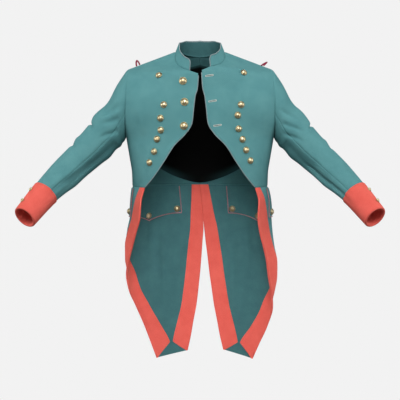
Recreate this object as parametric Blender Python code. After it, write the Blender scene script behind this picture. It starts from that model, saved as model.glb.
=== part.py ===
"""A cutaway tailcoat of green wool with scarlet facings, hollow as when it is worn.

Metres, +Z up. +X is the wearer's left side and the coat's front faces -Y. The origin is the middle of
the neck hole, level with the shoulder seams at the neck, where the wearer's shoulders carry the coat.
Every panel is a wall on a smooth surface drawn through the rows of a short table. The left half of the
tables' figures is mirrored to the other side.
"""

import functools
import math

import bmesh
import bpy
from mathutils import Vector

# Cloth and seams.
CLOTH = 0.0025
FACING = 0.0015
LINING = 0.001
GAP = 0.0003
CLEAR = 0.0008
PIPE_RADIUS = 0.0014

# Armhole: an upright oval in the side of the body.
ARMHOLE = {"x": 0.2320, "y": 0.004, "z": -0.1635, "tilt": -1.5, "turn": 0.0, "half": 0.107, "deep": 0.074}

# Side seam: place along the outer edge, then its point. Place 1 is the armpit.
SIDE_SEAM_Y = 0.004
SIDE_SEAM = (
    {"place": 1.0, "x": 0.2348, "z": -0.2705},
    {"place": 1.4, "x": 0.2240, "z": -0.3350},
    {"place": 1.75, "x": 0.2170, "z": -0.3850},
    {"place": 2.0, "x": 0.2160, "z": -0.4255},
)

# Body rows, from the front's waist up over the shoulder and down to the back's waist. Each row runs
# from the inner edge (front edge, neckline or centre back) to the outer edge. "place" is -2 at the
# front waist, -1 at the armpit, 0 on the shoulder point, 1 and 2 the same behind. The turns are the
# row's headings at its two ends in degrees from straight sideways, and the reaches are how far it
# keeps them. "drop" is how far the two sides' necklines differ in height.
BODY_ROWS = (
    {"x": 0.1755, "y": -0.068, "z": -0.4255, "turn": 50, "reach": 0.025,
     "place": -2.00, "turn_out": 90, "reach_out": 0.030, "drop": 0.0},
    {"x": 0.1445, "y": -0.096, "z": -0.3880, "turn": 35, "reach": 0.035,
     "place": -1.77, "turn_out": 90, "reach_out": 0.052, "drop": 0.0},
    {"x": 0.1120, "y": -0.117, "z": -0.3400, "turn": 22, "reach": 0.050,
     "place": -1.43, "turn_out": 90, "reach_out": 0.068, "drop": 0.0},
    {"x": 0.0790, "y": -0.129, "z": -0.2893, "turn": 10, "reach": 0.070,
     "place": -1.12, "turn_out": 90, "reach_out": 0.080, "drop": 0.0},
    {"x": 0.0470, "y": -0.1315, "z": -0.2570, "turn": 5, "reach": 0.090,
     "place": -1.00, "turn_out": 88, "reach_out": 0.082, "drop": 0.0},
    {"x": 0.0260, "y": -0.1315, "z": -0.2225, "turn": 2, "reach": 0.105,
     "place": -0.833, "turn_out": 79, "reach_out": 0.066, "drop": 0.0},
    {"x": 0.0210, "y": -0.128, "z": -0.1790, "turn": 0, "reach": 0.110,
     "place": -0.64, "turn_out": 62, "reach_out": 0.055, "drop": 0.0},
    {"x": 0.0163, "y": -0.121, "z": -0.1420, "turn": 0, "reach": 0.110,
     "place": -0.472, "turn_out": 50, "reach_out": 0.052, "drop": 0.0},
    {"x": 0.0095, "y": -0.114, "z": -0.1146, "turn": 0, "reach": 0.105,
     "place": -0.367, "turn_out": 42, "reach_out": 0.050, "drop": 0.002},
    {"x": 0.0062, "y": -0.106, "z": -0.0680, "turn": 0, "reach": 0.095,
     "place": -0.26, "turn_out": 32, "reach_out": 0.050, "drop": 0.005},
    {"x": 0.0340, "y": -0.098, "z": -0.0570, "turn": 2, "reach": 0.075,
     "place": -0.20, "turn_out": 25, "reach_out": 0.050, "drop": 0.006},
    {"x": 0.0665, "y": -0.063, "z": -0.0420, "turn": 4, "reach": 0.055,
     "place": -0.122, "turn_out": 15, "reach_out": 0.050, "drop": 0.004},
    {"x": 0.0790, "y": -0.024, "z": -0.0190, "turn": 2, "reach": 0.050,
     "place": -0.045, "turn_out": 6, "reach_out": 0.050, "drop": 0.002},
    {"x": 0.0775, "y": 0.003, "z": 0.0000, "turn": 0, "reach": 0.050,
     "place": 0.0, "turn_out": 0, "reach_out": 0.050, "drop": 0.0},
    {"x": 0.0600, "y": 0.038, "z": -0.0030, "turn": -2, "reach": 0.055,
     "place": 0.07, "turn_out": -8, "reach_out": 0.050, "drop": 0.0},
    {"x": 0.0320, "y": 0.059, "z": -0.0090, "turn": -1, "reach": 0.070,
     "place": 0.16, "turn_out": -18, "reach_out": 0.050, "drop": 0.0},
    {"x": 0.0, "y": 0.066, "z": -0.0120, "turn": 0, "reach": 0.085,
     "place": 0.26, "turn_out": -30, "reach_out": 0.050, "drop": 0.0},
    {"x": 0.0, "y": 0.086, "z": -0.0500, "turn": 0, "reach": 0.100,
     "place": 0.37, "turn_out": -42, "reach_out": 0.050, "drop": 0.0},
    {"x": 0.0, "y": 0.103, "z": -0.1000, "turn": 0, "reach": 0.105,
     "place": 0.50, "turn_out": -52, "reach_out": 0.050, "drop": 0.0},
    {"x": 0.0, "y": 0.115, "z": -0.1700, "turn": 0, "reach": 0.110,
     "place": 0.68, "turn_out": -66, "reach_out": 0.050, "drop": 0.0},
    {"x": 0.0, "y": 0.117, "z": -0.2350, "turn": 0, "reach": 0.120,
     "place": 0.87, "turn_out": -82, "reach_out": 0.064, "drop": 0.0},
    {"x": 0.0, "y": 0.112, "z": -0.2850, "turn": 0, "reach": 0.125,
     "place": 1.00, "turn_out": -90, "reach_out": 0.078, "drop": 0.0},
    {"x": 0.0, "y": 0.101, "z": -0.3400, "turn": 0, "reach": 0.120,
     "place": 1.43, "turn_out": -90, "reach_out": 0.066, "drop": 0.0},
    {"x": 0.0, "y": 0.092, "z": -0.3880, "turn": 0, "reach": 0.115,
     "place": 1.77, "turn_out": -90, "reach_out": 0.053, "drop": 0.0},
    {"x": 0.0, "y": 0.090, "z": -0.4255, "turn": 0, "reach": 0.115,
     "place": 2.00, "turn_out": -90, "reach_out": 0.047, "drop": 0.0},
)
# The inner edge turns sharply at the front's top corner, and the neckline is level at the centre back.
BODY_CORNERS = {
    "x": {9: "sharp", 16: "sharp"},
    "y": {9: "sharp", 16: "level"},
    "z": {9: "sharp", 16: "level"},
}
FRONT_CORNER_ROW = 9
BACK_NECK_ROW = 16
FRONT_CUTS = (0, 0.5, 1, 1.6, 2.2, 2.8, 3.4, 4, 4.35, 4.7, 5.1, 5.6, 6.2, 7, 8, 9, 9.5, 10, 10.25, 10.5,
              11, 11.5, 12, 12.5, 13)
BACK_CUTS = (13, 13.5, 14, 14.5, 15, 15.5, 16, 16.6, 17.2, 17.8, 18.4, 19, 19.5, 20, 20.35, 20.7, 21, 21.5,
             22.1, 22.8, 23.4, 24)
BODY_SHARES = (0, 0.11, 0.22, 0.33, 0.44, 0.55, 0.66, 0.77, 0.89, 1)

# Collar: how far its top edge stands in from the neckline and above it, from front end to back.
COLLAR_ROWS = (
    {"row": 10.0, "in_x": 0.003, "in_y": 0.002, "rise": 0.030},
    {"row": 11.0, "in_x": 0.014, "in_y": 0.002, "rise": 0.028},
    {"row": 13.0, "in_x": 0.011, "in_y": 0.000, "rise": 0.026},
    {"row": 14.5, "in_x": 0.008, "in_y": -0.005, "rise": 0.040},
    {"row": 16.0, "in_x": 0.0, "in_y": -0.006, "rise": 0.048},
)
COLLAR_CUTS = (10, 10.25, 10.5, 11, 11.5, 12, 12.5, 13, 13.5, 14, 14.5, 15, 15.5, 16)
COLLAR_HEIGHTS = (0, 0.35, 0.7, 1)
COLLAR_ROUND = 0.009

# Sleeve rings: middle, tilt of the ring from upright, turn of the arm towards the front, half its
# height across the arm and half its depth from front to back.
SLEEVE_ROWS = (
    ARMHOLE,
    {"x": 0.2510, "y": 0.004, "z": -0.1920, "tilt": 5.8, "turn": 0, "half": 0.0915, "deep": 0.072},
    {"x": 0.2670, "y": 0.004, "z": -0.2190, "tilt": 16.5, "turn": 1, "half": 0.0720, "deep": 0.068},
    {"x": 0.2860, "y": 0.002, "z": -0.2445, "tilt": 31.0, "turn": 3, "half": 0.0640, "deep": 0.063},
    {"x": 0.3065, "y": 0.000, "z": -0.2657, "tilt": 45.0, "turn": 5, "half": 0.0590, "deep": 0.060},
    {"x": 0.3553, "y": -0.0113, "z": -0.3179, "tilt": 50.0, "turn": 13, "half": 0.0549, "deep": 0.0559},
    {"x": 0.4218, "y": -0.0432, "z": -0.3822, "tilt": 51.0, "turn": 23, "half": 0.0498, "deep": 0.0498},
    {"x": 0.4782, "y": -0.0915, "z": -0.4395, "tilt": 50.0, "turn": 34, "half": 0.0407, "deep": 0.0425},
    {"x": 0.5323, "y": -0.1606, "z": -0.5095, "tilt": 48.0, "turn": 41, "half": 0.0349, "deep": 0.0370},
)
SLEEVE_CUTS = (0, 0.6, 1.3, 2, 2.5, 3, 3.5, 4, 4.4, 4.8, 5.2, 5.6, 6, 6.5, 7, 7.4, 7.75)
CUFF_CUTS = (7, 7.4, 7.75, 8)
SLEEVE_STEP = 18
SLEEVE_SEAM = 108
ARMHOLE_BLEND = 0.15
ARMHOLE_GAP = 0.0008

# Largest folds of the sleeves: place along the arm, angle round it from the top towards the front,
# how far they spread each way, slant in degrees round per ring, and height (hollows are negative).
SLEEVE_FOLDS = (
    {"row": 3.1, "angle": 20, "along": 0.50, "round": 75, "slant": 30, "height": 0.0045},
    {"row": 2.2, "angle": 50, "along": 0.50, "round": 60, "slant": -40, "height": -0.0030},
    {"row": 4.6, "angle": 200, "along": 0.28, "round": 60, "slant": 20, "height": 0.0045},
    {"row": 5.5, "angle": 120, "along": 0.28, "round": 55, "slant": 45, "height": -0.0040},
    {"row": 6.1, "angle": 250, "along": 0.24, "round": 70, "slant": -30, "height": 0.0035},
)

# Tails, from the waist seam to the hem, one table for each side. "vent" is the edge at the centre
# back, "side" the outermost stretch with the heading there, "front" the tail's front edge with the
# heading there, and the z values are the heights of the vent edge and the front edge.
TAIL_ROWS = {
    1: (
        {"vent_x": 0.0025, "vent_y": 0.090, "side_x": 0.2160, "side_y": 0.004, "side_turn": -90,
         "front_x": 0.1755, "front_y": -0.068, "front_turn": -130, "vent_z": -0.4255, "front_z": -0.4255},
        {"vent_x": 0.0062, "vent_y": 0.094, "side_x": 0.2245, "side_y": 0.002, "side_turn": -90,
         "front_x": 0.1860, "front_y": -0.072, "front_turn": -125, "vent_z": -0.4700, "front_z": -0.4700},
        {"vent_x": 0.0100, "vent_y": 0.098, "side_x": 0.2290, "side_y": 0.008, "side_turn": -90,
         "front_x": 0.1840, "front_y": -0.066, "front_turn": -125, "vent_z": -0.5200, "front_z": -0.5200},
        {"vent_x": 0.0155, "vent_y": 0.102, "side_x": 0.2335, "side_y": 0.014, "side_turn": -88,
         "front_x": 0.1915, "front_y": -0.052, "front_turn": -118, "vent_z": -0.5700, "front_z": -0.5700},
        {"vent_x": 0.0210, "vent_y": 0.106, "side_x": 0.2405, "side_y": 0.022, "side_turn": -84,
         "front_x": 0.2050, "front_y": -0.034, "front_turn": -110, "vent_z": -0.6200, "front_z": -0.6200},
        {"vent_x": 0.0268, "vent_y": 0.109, "side_x": 0.2485, "side_y": 0.028, "side_turn": -78,
         "front_x": 0.2155, "front_y": -0.013, "front_turn": -104, "vent_z": -0.6650, "front_z": -0.6650},
        {"vent_x": 0.0330, "vent_y": 0.112, "side_x": 0.2495, "side_y": 0.038, "side_turn": -72,
         "front_x": 0.2235, "front_y": 0.006, "front_turn": -100, "vent_z": -0.7200, "front_z": -0.7200},
        {"vent_x": 0.0400, "vent_y": 0.114, "side_x": 0.2430, "side_y": 0.052, "side_turn": -62,
         "front_x": 0.2330, "front_y": 0.026, "front_turn": -88, "vent_z": -0.7700, "front_z": -0.7700},
        {"vent_x": 0.0485, "vent_y": 0.116, "side_x": 0.2280, "side_y": 0.074, "side_turn": -48,
         "front_x": 0.2385, "front_y": 0.054, "front_turn": -58, "vent_z": -0.8300, "front_z": -0.8300},
        {"vent_x": 0.0600, "vent_y": 0.118, "side_x": 0.2080, "side_y": 0.094, "side_turn": -36,
         "front_x": 0.2220, "front_y": 0.082, "front_turn": -40, "vent_z": -0.8900, "front_z": -0.9000},
        {"vent_x": 0.0680, "vent_y": 0.119, "side_x": 0.1840, "side_y": 0.107, "side_turn": -24,
         "front_x": 0.1980, "front_y": 0.100, "front_turn": -28, "vent_z": -0.9350, "front_z": -0.9600},
        {"vent_x": 0.0800, "vent_y": 0.120, "side_x": 0.1620, "side_y": 0.115, "side_turn": -12,
         "front_x": 0.1760, "front_y": 0.1115, "front_turn": -15, "vent_z": -0.9864, "front_z": -1.0150},
    ),
    -1: (
        {"vent_x": 0.0025, "vent_y": 0.090, "side_x": 0.2160, "side_y": 0.004, "side_turn": -90,
         "front_x": 0.1755, "front_y": -0.068, "front_turn": -130, "vent_z": -0.4255, "front_z": -0.4255},
        {"vent_x": -0.0015, "vent_y": 0.094, "side_x": 0.2200, "side_y": 0.002, "side_turn": -90,
         "front_x": 0.1870, "front_y": -0.070, "front_turn": -125, "vent_z": -0.4700, "front_z": -0.4700},
        {"vent_x": -0.0055, "vent_y": 0.098, "side_x": 0.2245, "side_y": 0.008, "side_turn": -90,
         "front_x": 0.1910, "front_y": -0.062, "front_turn": -120, "vent_z": -0.5200, "front_z": -0.5200},
        {"vent_x": -0.0095, "vent_y": 0.102, "side_x": 0.2350, "side_y": 0.016, "side_turn": -86,
         "front_x": 0.2050, "front_y": -0.046, "front_turn": -112, "vent_z": -0.5700, "front_z": -0.5700},
        {"vent_x": -0.0060, "vent_y": 0.106, "side_x": 0.2405, "side_y": 0.026, "side_turn": -78,
         "front_x": 0.2190, "front_y": -0.018, "front_turn": -104, "vent_z": -0.6200, "front_z": -0.6200},
        {"vent_x": -0.0030, "vent_y": 0.109, "side_x": 0.2410, "side_y": 0.036, "side_turn": -70,
         "front_x": 0.2310, "front_y": 0.004, "front_turn": -95, "vent_z": -0.6650, "front_z": -0.6650},
        {"vent_x": 0.0015, "vent_y": 0.112, "side_x": 0.2300, "side_y": 0.058, "side_turn": -60,
         "front_x": 0.2395, "front_y": 0.034, "front_turn": -70, "vent_z": -0.7200, "front_z": -0.7200},
        {"vent_x": 0.0065, "vent_y": 0.114, "side_x": 0.2200, "side_y": 0.074, "side_turn": -50,
         "front_x": 0.2330, "front_y": 0.054, "front_turn": -58, "vent_z": -0.7700, "front_z": -0.7700},
        {"vent_x": 0.0135, "vent_y": 0.116, "side_x": 0.1980, "side_y": 0.093, "side_turn": -38,
         "front_x": 0.2115, "front_y": 0.080, "front_turn": -44, "vent_z": -0.8300, "front_z": -0.8300},
        {"vent_x": 0.0245, "vent_y": 0.118, "side_x": 0.1700, "side_y": 0.107, "side_turn": -25,
         "front_x": 0.1845, "front_y": 0.099, "front_turn": -30, "vent_z": -0.8900, "front_z": -0.9000},
        {"vent_x": 0.0320, "vent_y": 0.119, "side_x": 0.1520, "side_y": 0.112, "side_turn": -18,
         "front_x": 0.1650, "front_y": 0.1065, "front_turn": -22, "vent_z": -0.9350, "front_z": -0.9550},
        {"vent_x": 0.0432, "vent_y": 0.120, "side_x": 0.1320, "side_y": 0.115, "side_turn": -10,
         "front_x": 0.1450, "front_y": 0.1120, "front_turn": -12, "vent_z": -0.9888, "front_z": -1.0122},
    ),
}
TAIL_SIDE_SHARE = 0.75
TAIL_CUTS = (0, 0.5, 1, 1.5, 2, 2.5, 3.1, 3.7, 4.3, 4.9, 5.5, 6.1, 6.6, 7.1, 7.6, 8.2, 9.2, 10.25, 11)
TAIL_SHARES = (0, 0.2, 0.38, 0.52, 0.62, 0.71, 0.79, 0.86, 0.93, 1)
MITRE_CUT = 10.25
BAND_LAST = 0.002

# Width of the turned-back facings down the tail.
BAND_ROWS = (
    {"row": 0, "vent": 0.025, "front": 0.018},
    {"row": 1, "vent": 0.030, "front": 0.030},
    {"row": 2, "vent": 0.036, "front": 0.044},
    {"row": 3, "vent": 0.042, "front": 0.047},
    {"row": 5, "vent": 0.046, "front": 0.048},
    {"row": 8, "vent": 0.049, "front": 0.049},
    {"row": 9, "vent": 0.053, "front": 0.054},
    {"row": 10, "vent": 0.058, "front": 0.061},
    {"row": 11, "vent": 0.059, "front": 0.062},
)

# Pocket flaps, on the outside of the tails: distances from the vent edge and down from the waist
# seam. The lower edge is drawn down to a point in its middle.
FLAP_REAR = {1: 0.085, -1: 0.067}
FLAP_FRONT_FROM_EDGE = 0.054
FLAP_TOP = 0.006
FLAP_CORNER = 0.094
FLAP_POINT = 0.117
FLAP_SHARES = (0, 0.12, 0.24, 0.34, 0.42, 0.5, 0.57, 0.64, 0.71, 0.78, 0.85, 0.92, 1)
FLAP_DROPS = (0, 0.25, 0.5, 0.75, 1)
FLAP_CURVE = 2.2
FLAP_BUTTON_IN = 0.0135
POINT_BUTTON_UP = 0.0125
STAY_POINT_UP = 0.0155

# Half-lining: its hem falls to the centre back, where it is rounded.
LINING_TOP = 16.6
LINING_DEEPEST = 23.85
LINING_SLOPE = 3.4
LINING_ROUND = 0.1
LINING_SHARED_LAST = 20.35
LINING_OWN_ROWS = 8
LINING_SHARES = (*BODY_SHARES[:-2], 0.86)

# Shoulder loops, which hold the epaulettes down. The left one is squeezed flat and leans outwards.
LOOPS = {
    1: {"share": 0.785, "half": 0.0055, "rise": 0.0205, "lean": 32},
    -1: {"share": 0.775, "half": 0.0078, "rise": 0.0180, "lean": -4},
}
LOOP_WIDTH = 0.008
LOOP_BRAID = 0.0045

# Buttons: diameter and dome height.
BUTTON_LARGE = (0.0240, 0.0090)
BUTTON_MEDIUM = (0.0205, 0.0080)
BUTTON_SMALL = (0.0135, 0.0060)
BUTTON_SIDES = 10

# Button places on the fronts, across and down. The three that close the coat are on one side only.
CLOSING_BUTTONS = ((0.052, -0.096), (0.047, -0.160), (0.049, -0.232))
ROW_BUTTONS = {
    1: ((0.134, -0.070), (0.125, -0.168), (0.115, -0.200), (0.1175, -0.241),
        (0.130, -0.274), (0.142, -0.306), (0.1545, -0.339)),
    -1: ((0.126, -0.078), (0.110, -0.168), (0.1205, -0.209), (0.1195, -0.245),
         (0.1315, -0.273), (0.141, -0.311), (0.155, -0.345)),
}
CUFF_BUTTONS = ({"row": 7.30, "angle": 22}, {"row": 7.72, "angle": 22})

CLOSING_SIDE = -1
SIDES = ((1, "left"), (-1, "right"))

# How far the tail rows keep their headings, as shares of their spans.
REAR_REACH = 0.54
REAR_LEAST = 0.02
FRONT_REACH = 0.36
ROW_SAMPLES = 60

# Small clearances and construction values.
BAND_START = 0.05
PIPING_END = 0.06
BUTTON_SEAT = 0.0005
STAY_CLEAR = 0.0009
STAY_SEAT = 0.0012
FLAP_CLEAR = 0.0018
FLAP_SEAM_CLEAR = 0.0012
FACING_GAP = 0.0006
LINING_CLEAR = 0.0034
FLAP_PIPING_OUT = 0.0026
COLLAR_OUTSIDE = 1
FLAP_OUTSIDE = -1
SHOULDER_ROW = 13
LOOP_STEPS = 10
MERGE = 0.00001

COLOURS = {
    "green_wool": ((0.098, 0.245, 0.250, 1.0), 0.85, 0.0),
    "scarlet_wool": ((0.680, 0.075, 0.055, 1.0), 0.80, 0.0),
    "rose_piping": ((0.480, 0.250, 0.260, 1.0), 0.75, 0.0),
    "black_lining": ((0.008, 0.008, 0.009, 1.0), 0.60, 0.0),
    "crimson_braid": ((0.500, 0.030, 0.080, 1.0), 0.75, 0.0),
    "brass": ((0.720, 0.610, 0.380, 1.0), 0.32, 1.0),
}


def clear_scene():
    """Removes what the scene holds, so that the coat is alone in it."""
    for thing in list(bpy.data.objects):
        bpy.data.objects.remove(thing, do_unlink=True)


def material(name):
    """The finish of that name, made on its first use."""
    found = bpy.data.materials.get(name)
    if found:
        return found
    colour, roughness, metallic = COLOURS[name]
    made = bpy.data.materials.new(name)
    made.use_nodes = True
    made.diffuse_color = colour
    shader = made.node_tree.nodes["Principled BSDF"]
    shader.inputs["Base Color"].default_value = colour
    shader.inputs["Roughness"].default_value = roughness
    shader.inputs["Metallic"].default_value = metallic
    return made


def smooth(places, values, place, corners=None):
    """The value at a place on the curve through the values, which never overshoots them."""
    corners = corners or {}
    last = len(places) - 1
    place = min(max(place, places[0]), places[last])
    k = max(i for i in range(last) if places[i] <= place)

    def rise(i):
        return (values[i + 1] - values[i]) / (places[i + 1] - places[i])

    def slope_at(i, leaving):
        if i in (0, last) or i in corners:
            if corners.get(i) == "level" and not leaving:
                return 0.0
            return rise(i) if leaving else rise(i - 1)
        before, after = rise(i - 1), rise(i)
        if before * after <= 0:
            return 0.0
        near, far = places[i] - places[i - 1], places[i + 1] - places[i]
        return 3 * (near + far) / ((2 * far + near) / before + (far + 2 * near) / after)

    step = places[k + 1] - places[k]
    t = (place - places[k]) / step
    start, end = slope_at(k, True) * step, slope_at(k + 1, False) * step
    return (
        values[k] * (1 + 2 * t) * (1 - t) ** 2
        + start * t * (1 - t) ** 2
        + values[k + 1] * t * t * (3 - 2 * t)
        - end * t * t * (1 - t)
    )


TABLES = {
    "body": (BODY_ROWS, None, BODY_CORNERS),
    "side_seam": (SIDE_SEAM, "place", {}),
    "collar": (COLLAR_ROWS, "row", {}),
    "sleeve": (SLEEVE_ROWS, None, {}),
    "tail_1": (TAIL_ROWS[1], None, {}),
    "tail_-1": (TAIL_ROWS[-1], None, {}),
    "band": (BAND_ROWS, "row", {}),
}


@functools.lru_cache(maxsize=None)
def read_table(name, place):
    """Every column of a table at a place between its rows."""
    rows, key, corners = TABLES[name]
    places = [row[key] for row in rows] if key else list(range(len(rows)))
    return {
        column: smooth(places, [row[column] for row in rows], place, corners.get(column))
        for column in rows[0]
    }


def row_where(name, column, value, low, high):
    """The place between two rows where a column reaches a value that it only passes once."""
    falls = read_table(name, high)[column] < read_table(name, low)[column]
    for _ in range(30):
        middle = (low + high) / 2
        if (read_table(name, middle)[column] < value) != falls:
            low = middle
        else:
            high = middle
    return (low + high) / 2


def bezier(points, t):
    """The point at t on the cubic curve with these four points."""
    a, b, c, d = points
    s = 1 - t
    return a * s**3 + b * 3 * s * s * t + c * 3 * s * t * t + d * t**3


def heading(degrees):
    """The level direction that many degrees from straight sideways towards the back."""
    return Vector((math.cos(math.radians(degrees)), math.sin(math.radians(degrees)), 0))


def ring_point(ring, angle, grow=0.0):
    """The point of a sleeve ring at an angle from its top towards the front."""
    tilt, turn, a = (math.radians(v) for v in (ring["tilt"], ring["turn"], angle))
    up = Vector((math.sin(tilt), 0, math.cos(tilt)))
    side_on = Vector((-math.sin(turn) * math.cos(tilt), -math.cos(turn), math.sin(turn) * math.sin(tilt)))
    middle = Vector((ring["x"], ring["y"], ring["z"]))
    tall, deep = ring["half"] + grow, ring["deep"] + grow
    return middle + up * tall * math.cos(a) + side_on * deep * math.sin(a)


def outer_edge(place):
    """The body's outer edge: the side seam below the armpit, the armhole above it."""
    if abs(place) <= 1:
        return ring_point(ARMHOLE, -180 * place)
    seam = read_table("side_seam", abs(place))
    return Vector((seam["x"], SIDE_SEAM_Y, seam["z"]))


def body_point(u, v, side=1):
    """A point of the body's outer face: u from the inner to the outer edge, v along the body rows."""
    row = read_table("body", v)
    start = Vector((row["x"], row["y"], row["z"] + side * row["drop"]))
    end = outer_edge(row["place"])
    fall = Vector((0, 0, (end.z - start.z) / 3))
    lead = start + heading(row["turn"]) * row["reach"] + fall
    trail = end - heading(row["turn_out"]) * row["reach_out"] - fall
    return bezier((start, lead, trail, end), u)


def sleeve_fold(angle, v):
    """How far the largest folds lift the sleeve at a place."""
    lift = 0.0
    for fold in SLEEVE_FOLDS:
        along = v - fold["row"]
        turned = (angle - fold["angle"] - fold["slant"] * along + 180) % 360 - 180
        away = (along / fold["along"]) ** 2 + (turned / fold["round"]) ** 2
        lift += fold["height"] * math.exp(-away)
    return lift


def sleeve_point(angle, v, side=1):
    """A point of the sleeve's outer face: the angle from the top towards the front, v along the rings."""
    return ring_point(read_table("sleeve", v), angle, sleeve_fold(angle, v))


def tail_point(u, v, side=1):
    """A point of the tail's outer face: u from the vent edge to the front edge, v down the rows."""
    row = read_table(f"tail_{side}", v)
    vent, widest, front = (Vector((row[f"{k}_x"], row[f"{k}_y"], 0)) for k in ("vent", "side", "front"))
    if u <= TAIL_SIDE_SHARE:
        across = heading(0) * (widest.x - vent.x) * REAR_REACH
        round_it = heading(row["side_turn"]) * max(vent.y - widest.y, REAR_LEAST) * REAR_REACH
        point = bezier((vent, vent + across, widest - round_it, widest), u / TAIL_SIDE_SHARE)
    else:
        reach = (front - widest).length * FRONT_REACH
        lead, trail = heading(row["side_turn"]) * reach, heading(row["front_turn"]) * reach
        t = (u - TAIL_SIDE_SHARE) / (1 - TAIL_SIDE_SHARE)
        point = bezier((widest, widest + lead, front - trail, front), t)
    share = min(max((point.x - vent.x) / (front.x - vent.x), 0), 1)
    point.z = row["vent_z"] + (row["front_z"] - row["vent_z"]) * share
    return point


def collar_point(v, height, side=1):
    """A point of the collar's outer face: v along the neckline, height from 0 at the seam to 1."""
    row = read_table("collar", v)
    base = body_point(0, v, side) + Vector((0, 0, GAP))
    return base + Vector((-row["in_x"], row["in_y"], row["rise"])) * height


def normal_at(surface, u, v, side, step_u=0.002, step_v=0.002, last_v=math.inf):
    """The outward direction of a surface at a place."""
    along_u = surface(u + step_u, v, side) - surface(u - step_u, v, side)
    along_v = surface(u, min(v + step_v, last_v), side) - surface(u, v - step_v, side)
    return along_u.cross(along_v).normalized()


def moved_along_u(surface, u, v, side, distance, step=0.002):
    """The u that lies a distance further along the row."""
    return u + distance * step / (surface(u + step, v, side) - surface(u, v, side)).length


def moved_along_v(surface, u, v, side, distance, step=0.002):
    """The v that lies a distance further along the column."""
    inward = step if distance > 0 else -step
    return v + distance * step / (surface(u, v + inward, side) - surface(u, v, side)).length


class Spot:
    """A point of a panel's outer face, the way out of the cloth there and the way through it."""

    def __init__(self, point, normal, through=None):
        self.point, self.normal = point, normal
        self.through = -normal if through is None else through

    def out(self, distance):
        """The point that lies a distance out of the face, or inside it."""
        if distance < 0:
            return self.point - self.through * distance
        return self.point + self.normal * distance


def place_object(name, mesh, finish):
    """Adds a mesh to the scene under its name and in its finish."""
    if not mesh.materials:
        mesh.materials.append(material(finish))
    thing = bpy.data.objects.new(name, mesh)
    bpy.context.collection.objects.link(thing)
    return thing


def closed_solid(name, finish, outer, inner, side=1, ring=False, crossed=()):
    """Closes two matching grids of points, a wall's outer and inner faces, into one solid.

    The cells of the crossed columns are split along their other diagonal, to lie flush with a panel
    whose columns run the other way.
    """
    bm = bmesh.new()
    flip = Vector((side, 1, 1))
    face = [[bm.verts.new(point * flip) for point in line] for line in outer]
    back = [[bm.verts.new(point * flip) for point in line] for line in inner]
    rows, columns = len(outer), len(outer[0])
    pairs = [(i, (i + 1) % columns) for i in range(columns if ring else columns - 1)]

    def quad(a, b, c, d, other=False):
        for corners in ((a, b, d), (b, c, d)) if other else ((a, b, c), (a, c, d)):
            bm.faces.new(corners)

    for skin in (face, back):
        for j in range(rows - 1):
            for i, k in pairs:
                quad(skin[j][i], skin[j][k], skin[j + 1][k], skin[j + 1][i], i in crossed)
    for j in (0, rows - 1):
        for i, k in pairs:
            quad(face[j][i], face[j][k], back[j][k], back[j][i])
    if not ring:
        for i in (0, columns - 1):
            for j in range(rows - 1):
                quad(face[j][i], face[j + 1][i], back[j + 1][i], back[j][i])
    bmesh.ops.recalc_face_normals(bm, faces=bm.faces)
    mesh = bpy.data.meshes.new(name)
    bm.to_mesh(mesh)
    bm.free()
    return place_object(name, mesh, finish)


def wall(name, finish, spots, high, low, side=1, ring=False):
    """A solid between two heights over a panel's spots: 0 is the panel's outer face."""
    outer = [[spot.out(high) for spot in line] for line in spots]
    inner = [[spot.out(low) for spot in line] for line in spots]
    return closed_solid(name, finish, outer, inner, side, ring)


def pipe(name, finish, points, side=1):
    """A thin piping along points."""
    data = bpy.data.curves.new(name, "CURVE")
    data.dimensions = "3D"
    data.bevel_depth = PIPE_RADIUS
    data.bevel_resolution = 1
    data.use_fill_caps = True
    line = data.splines.new("POLY")
    line.points.add(len(points) - 1)
    for place, point in zip(line.points, points):
        place.co = (point.x * side, point.y, point.z, 1)
    data.materials.append(material(finish))
    thing = bpy.data.objects.new(name, data)
    bpy.context.collection.objects.link(thing)
    return thing


def piping_beside(spots, height, away, out=None):
    """Points of a piping beside the edge that the spots follow, at a height in the cloth."""
    out = GAP + PIPE_RADIUS if out is None else out
    points = []
    for i, spot in enumerate(spots):
        ahead, behind = spots[min(i + 1, len(spots) - 1)], spots[max(i - 1, 0)]
        aside = (ahead.point - behind.point).cross(spot.normal).normalized()
        points.append(spot.out(height) + aside * away * out)
    return points


def armhole_way(angle, of_sleeve):
    """The way through the cloth at the armhole, shared by body and sleeve where they meet in a ridge."""
    v = row_where("body", "place", -angle / 180, 4, 21)
    body_normal = normal_at(body_point, 1, v, 1)
    sleeve_normal = normal_at(sleeve_point, angle, 0.003, 1, step_u=0.5)
    into_body = (body_point(0.97, v) - body_point(1, v)).normalized()
    into_sleeve = (sleeve_point(angle, 0.1) - sleeve_point(angle, 0)).normalized()
    middle = (body_normal + sleeve_normal).normalized()
    ridge = min(max(-(into_body + into_sleeve).dot(middle) / ARMHOLE_BLEND, 0), 1)
    own = sleeve_normal if of_sleeve else body_normal
    way = own.lerp(middle, ridge).normalized()
    return -way / max(way.dot(own), 0.5)


def body_spots(side, cuts, shares):
    """A body panel's spots. Its seams stand back by half a gap, and its armhole follows the sleeve."""
    spots = []
    for v in cuts:
        line = []
        for u in shares:
            row_v, row_u = v, u
            if v in (cuts[0], cuts[-1]):
                row_v = moved_along_v(body_point, u, v, side, GAP / 2 if v == cuts[0] else -GAP / 2)
            if u in (0, 1):
                row_u = moved_along_u(body_point, u, row_v, side, GAP / 2 if u == 0 else -GAP / 2)
            place = read_table("body", row_v)["place"]
            through = armhole_way(-180 * place, False) if u == 1 and abs(place) < 0.999 else None
            normal = normal_at(body_point, row_u, row_v, side)
            if u == 0 and v >= BACK_NECK_ROW:
                normal = Vector((0, normal.y, normal.z)).normalized()
            line.append(Spot(body_point(row_u, row_v, side), normal, through))
        spots.append(line)
    return spots


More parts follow.
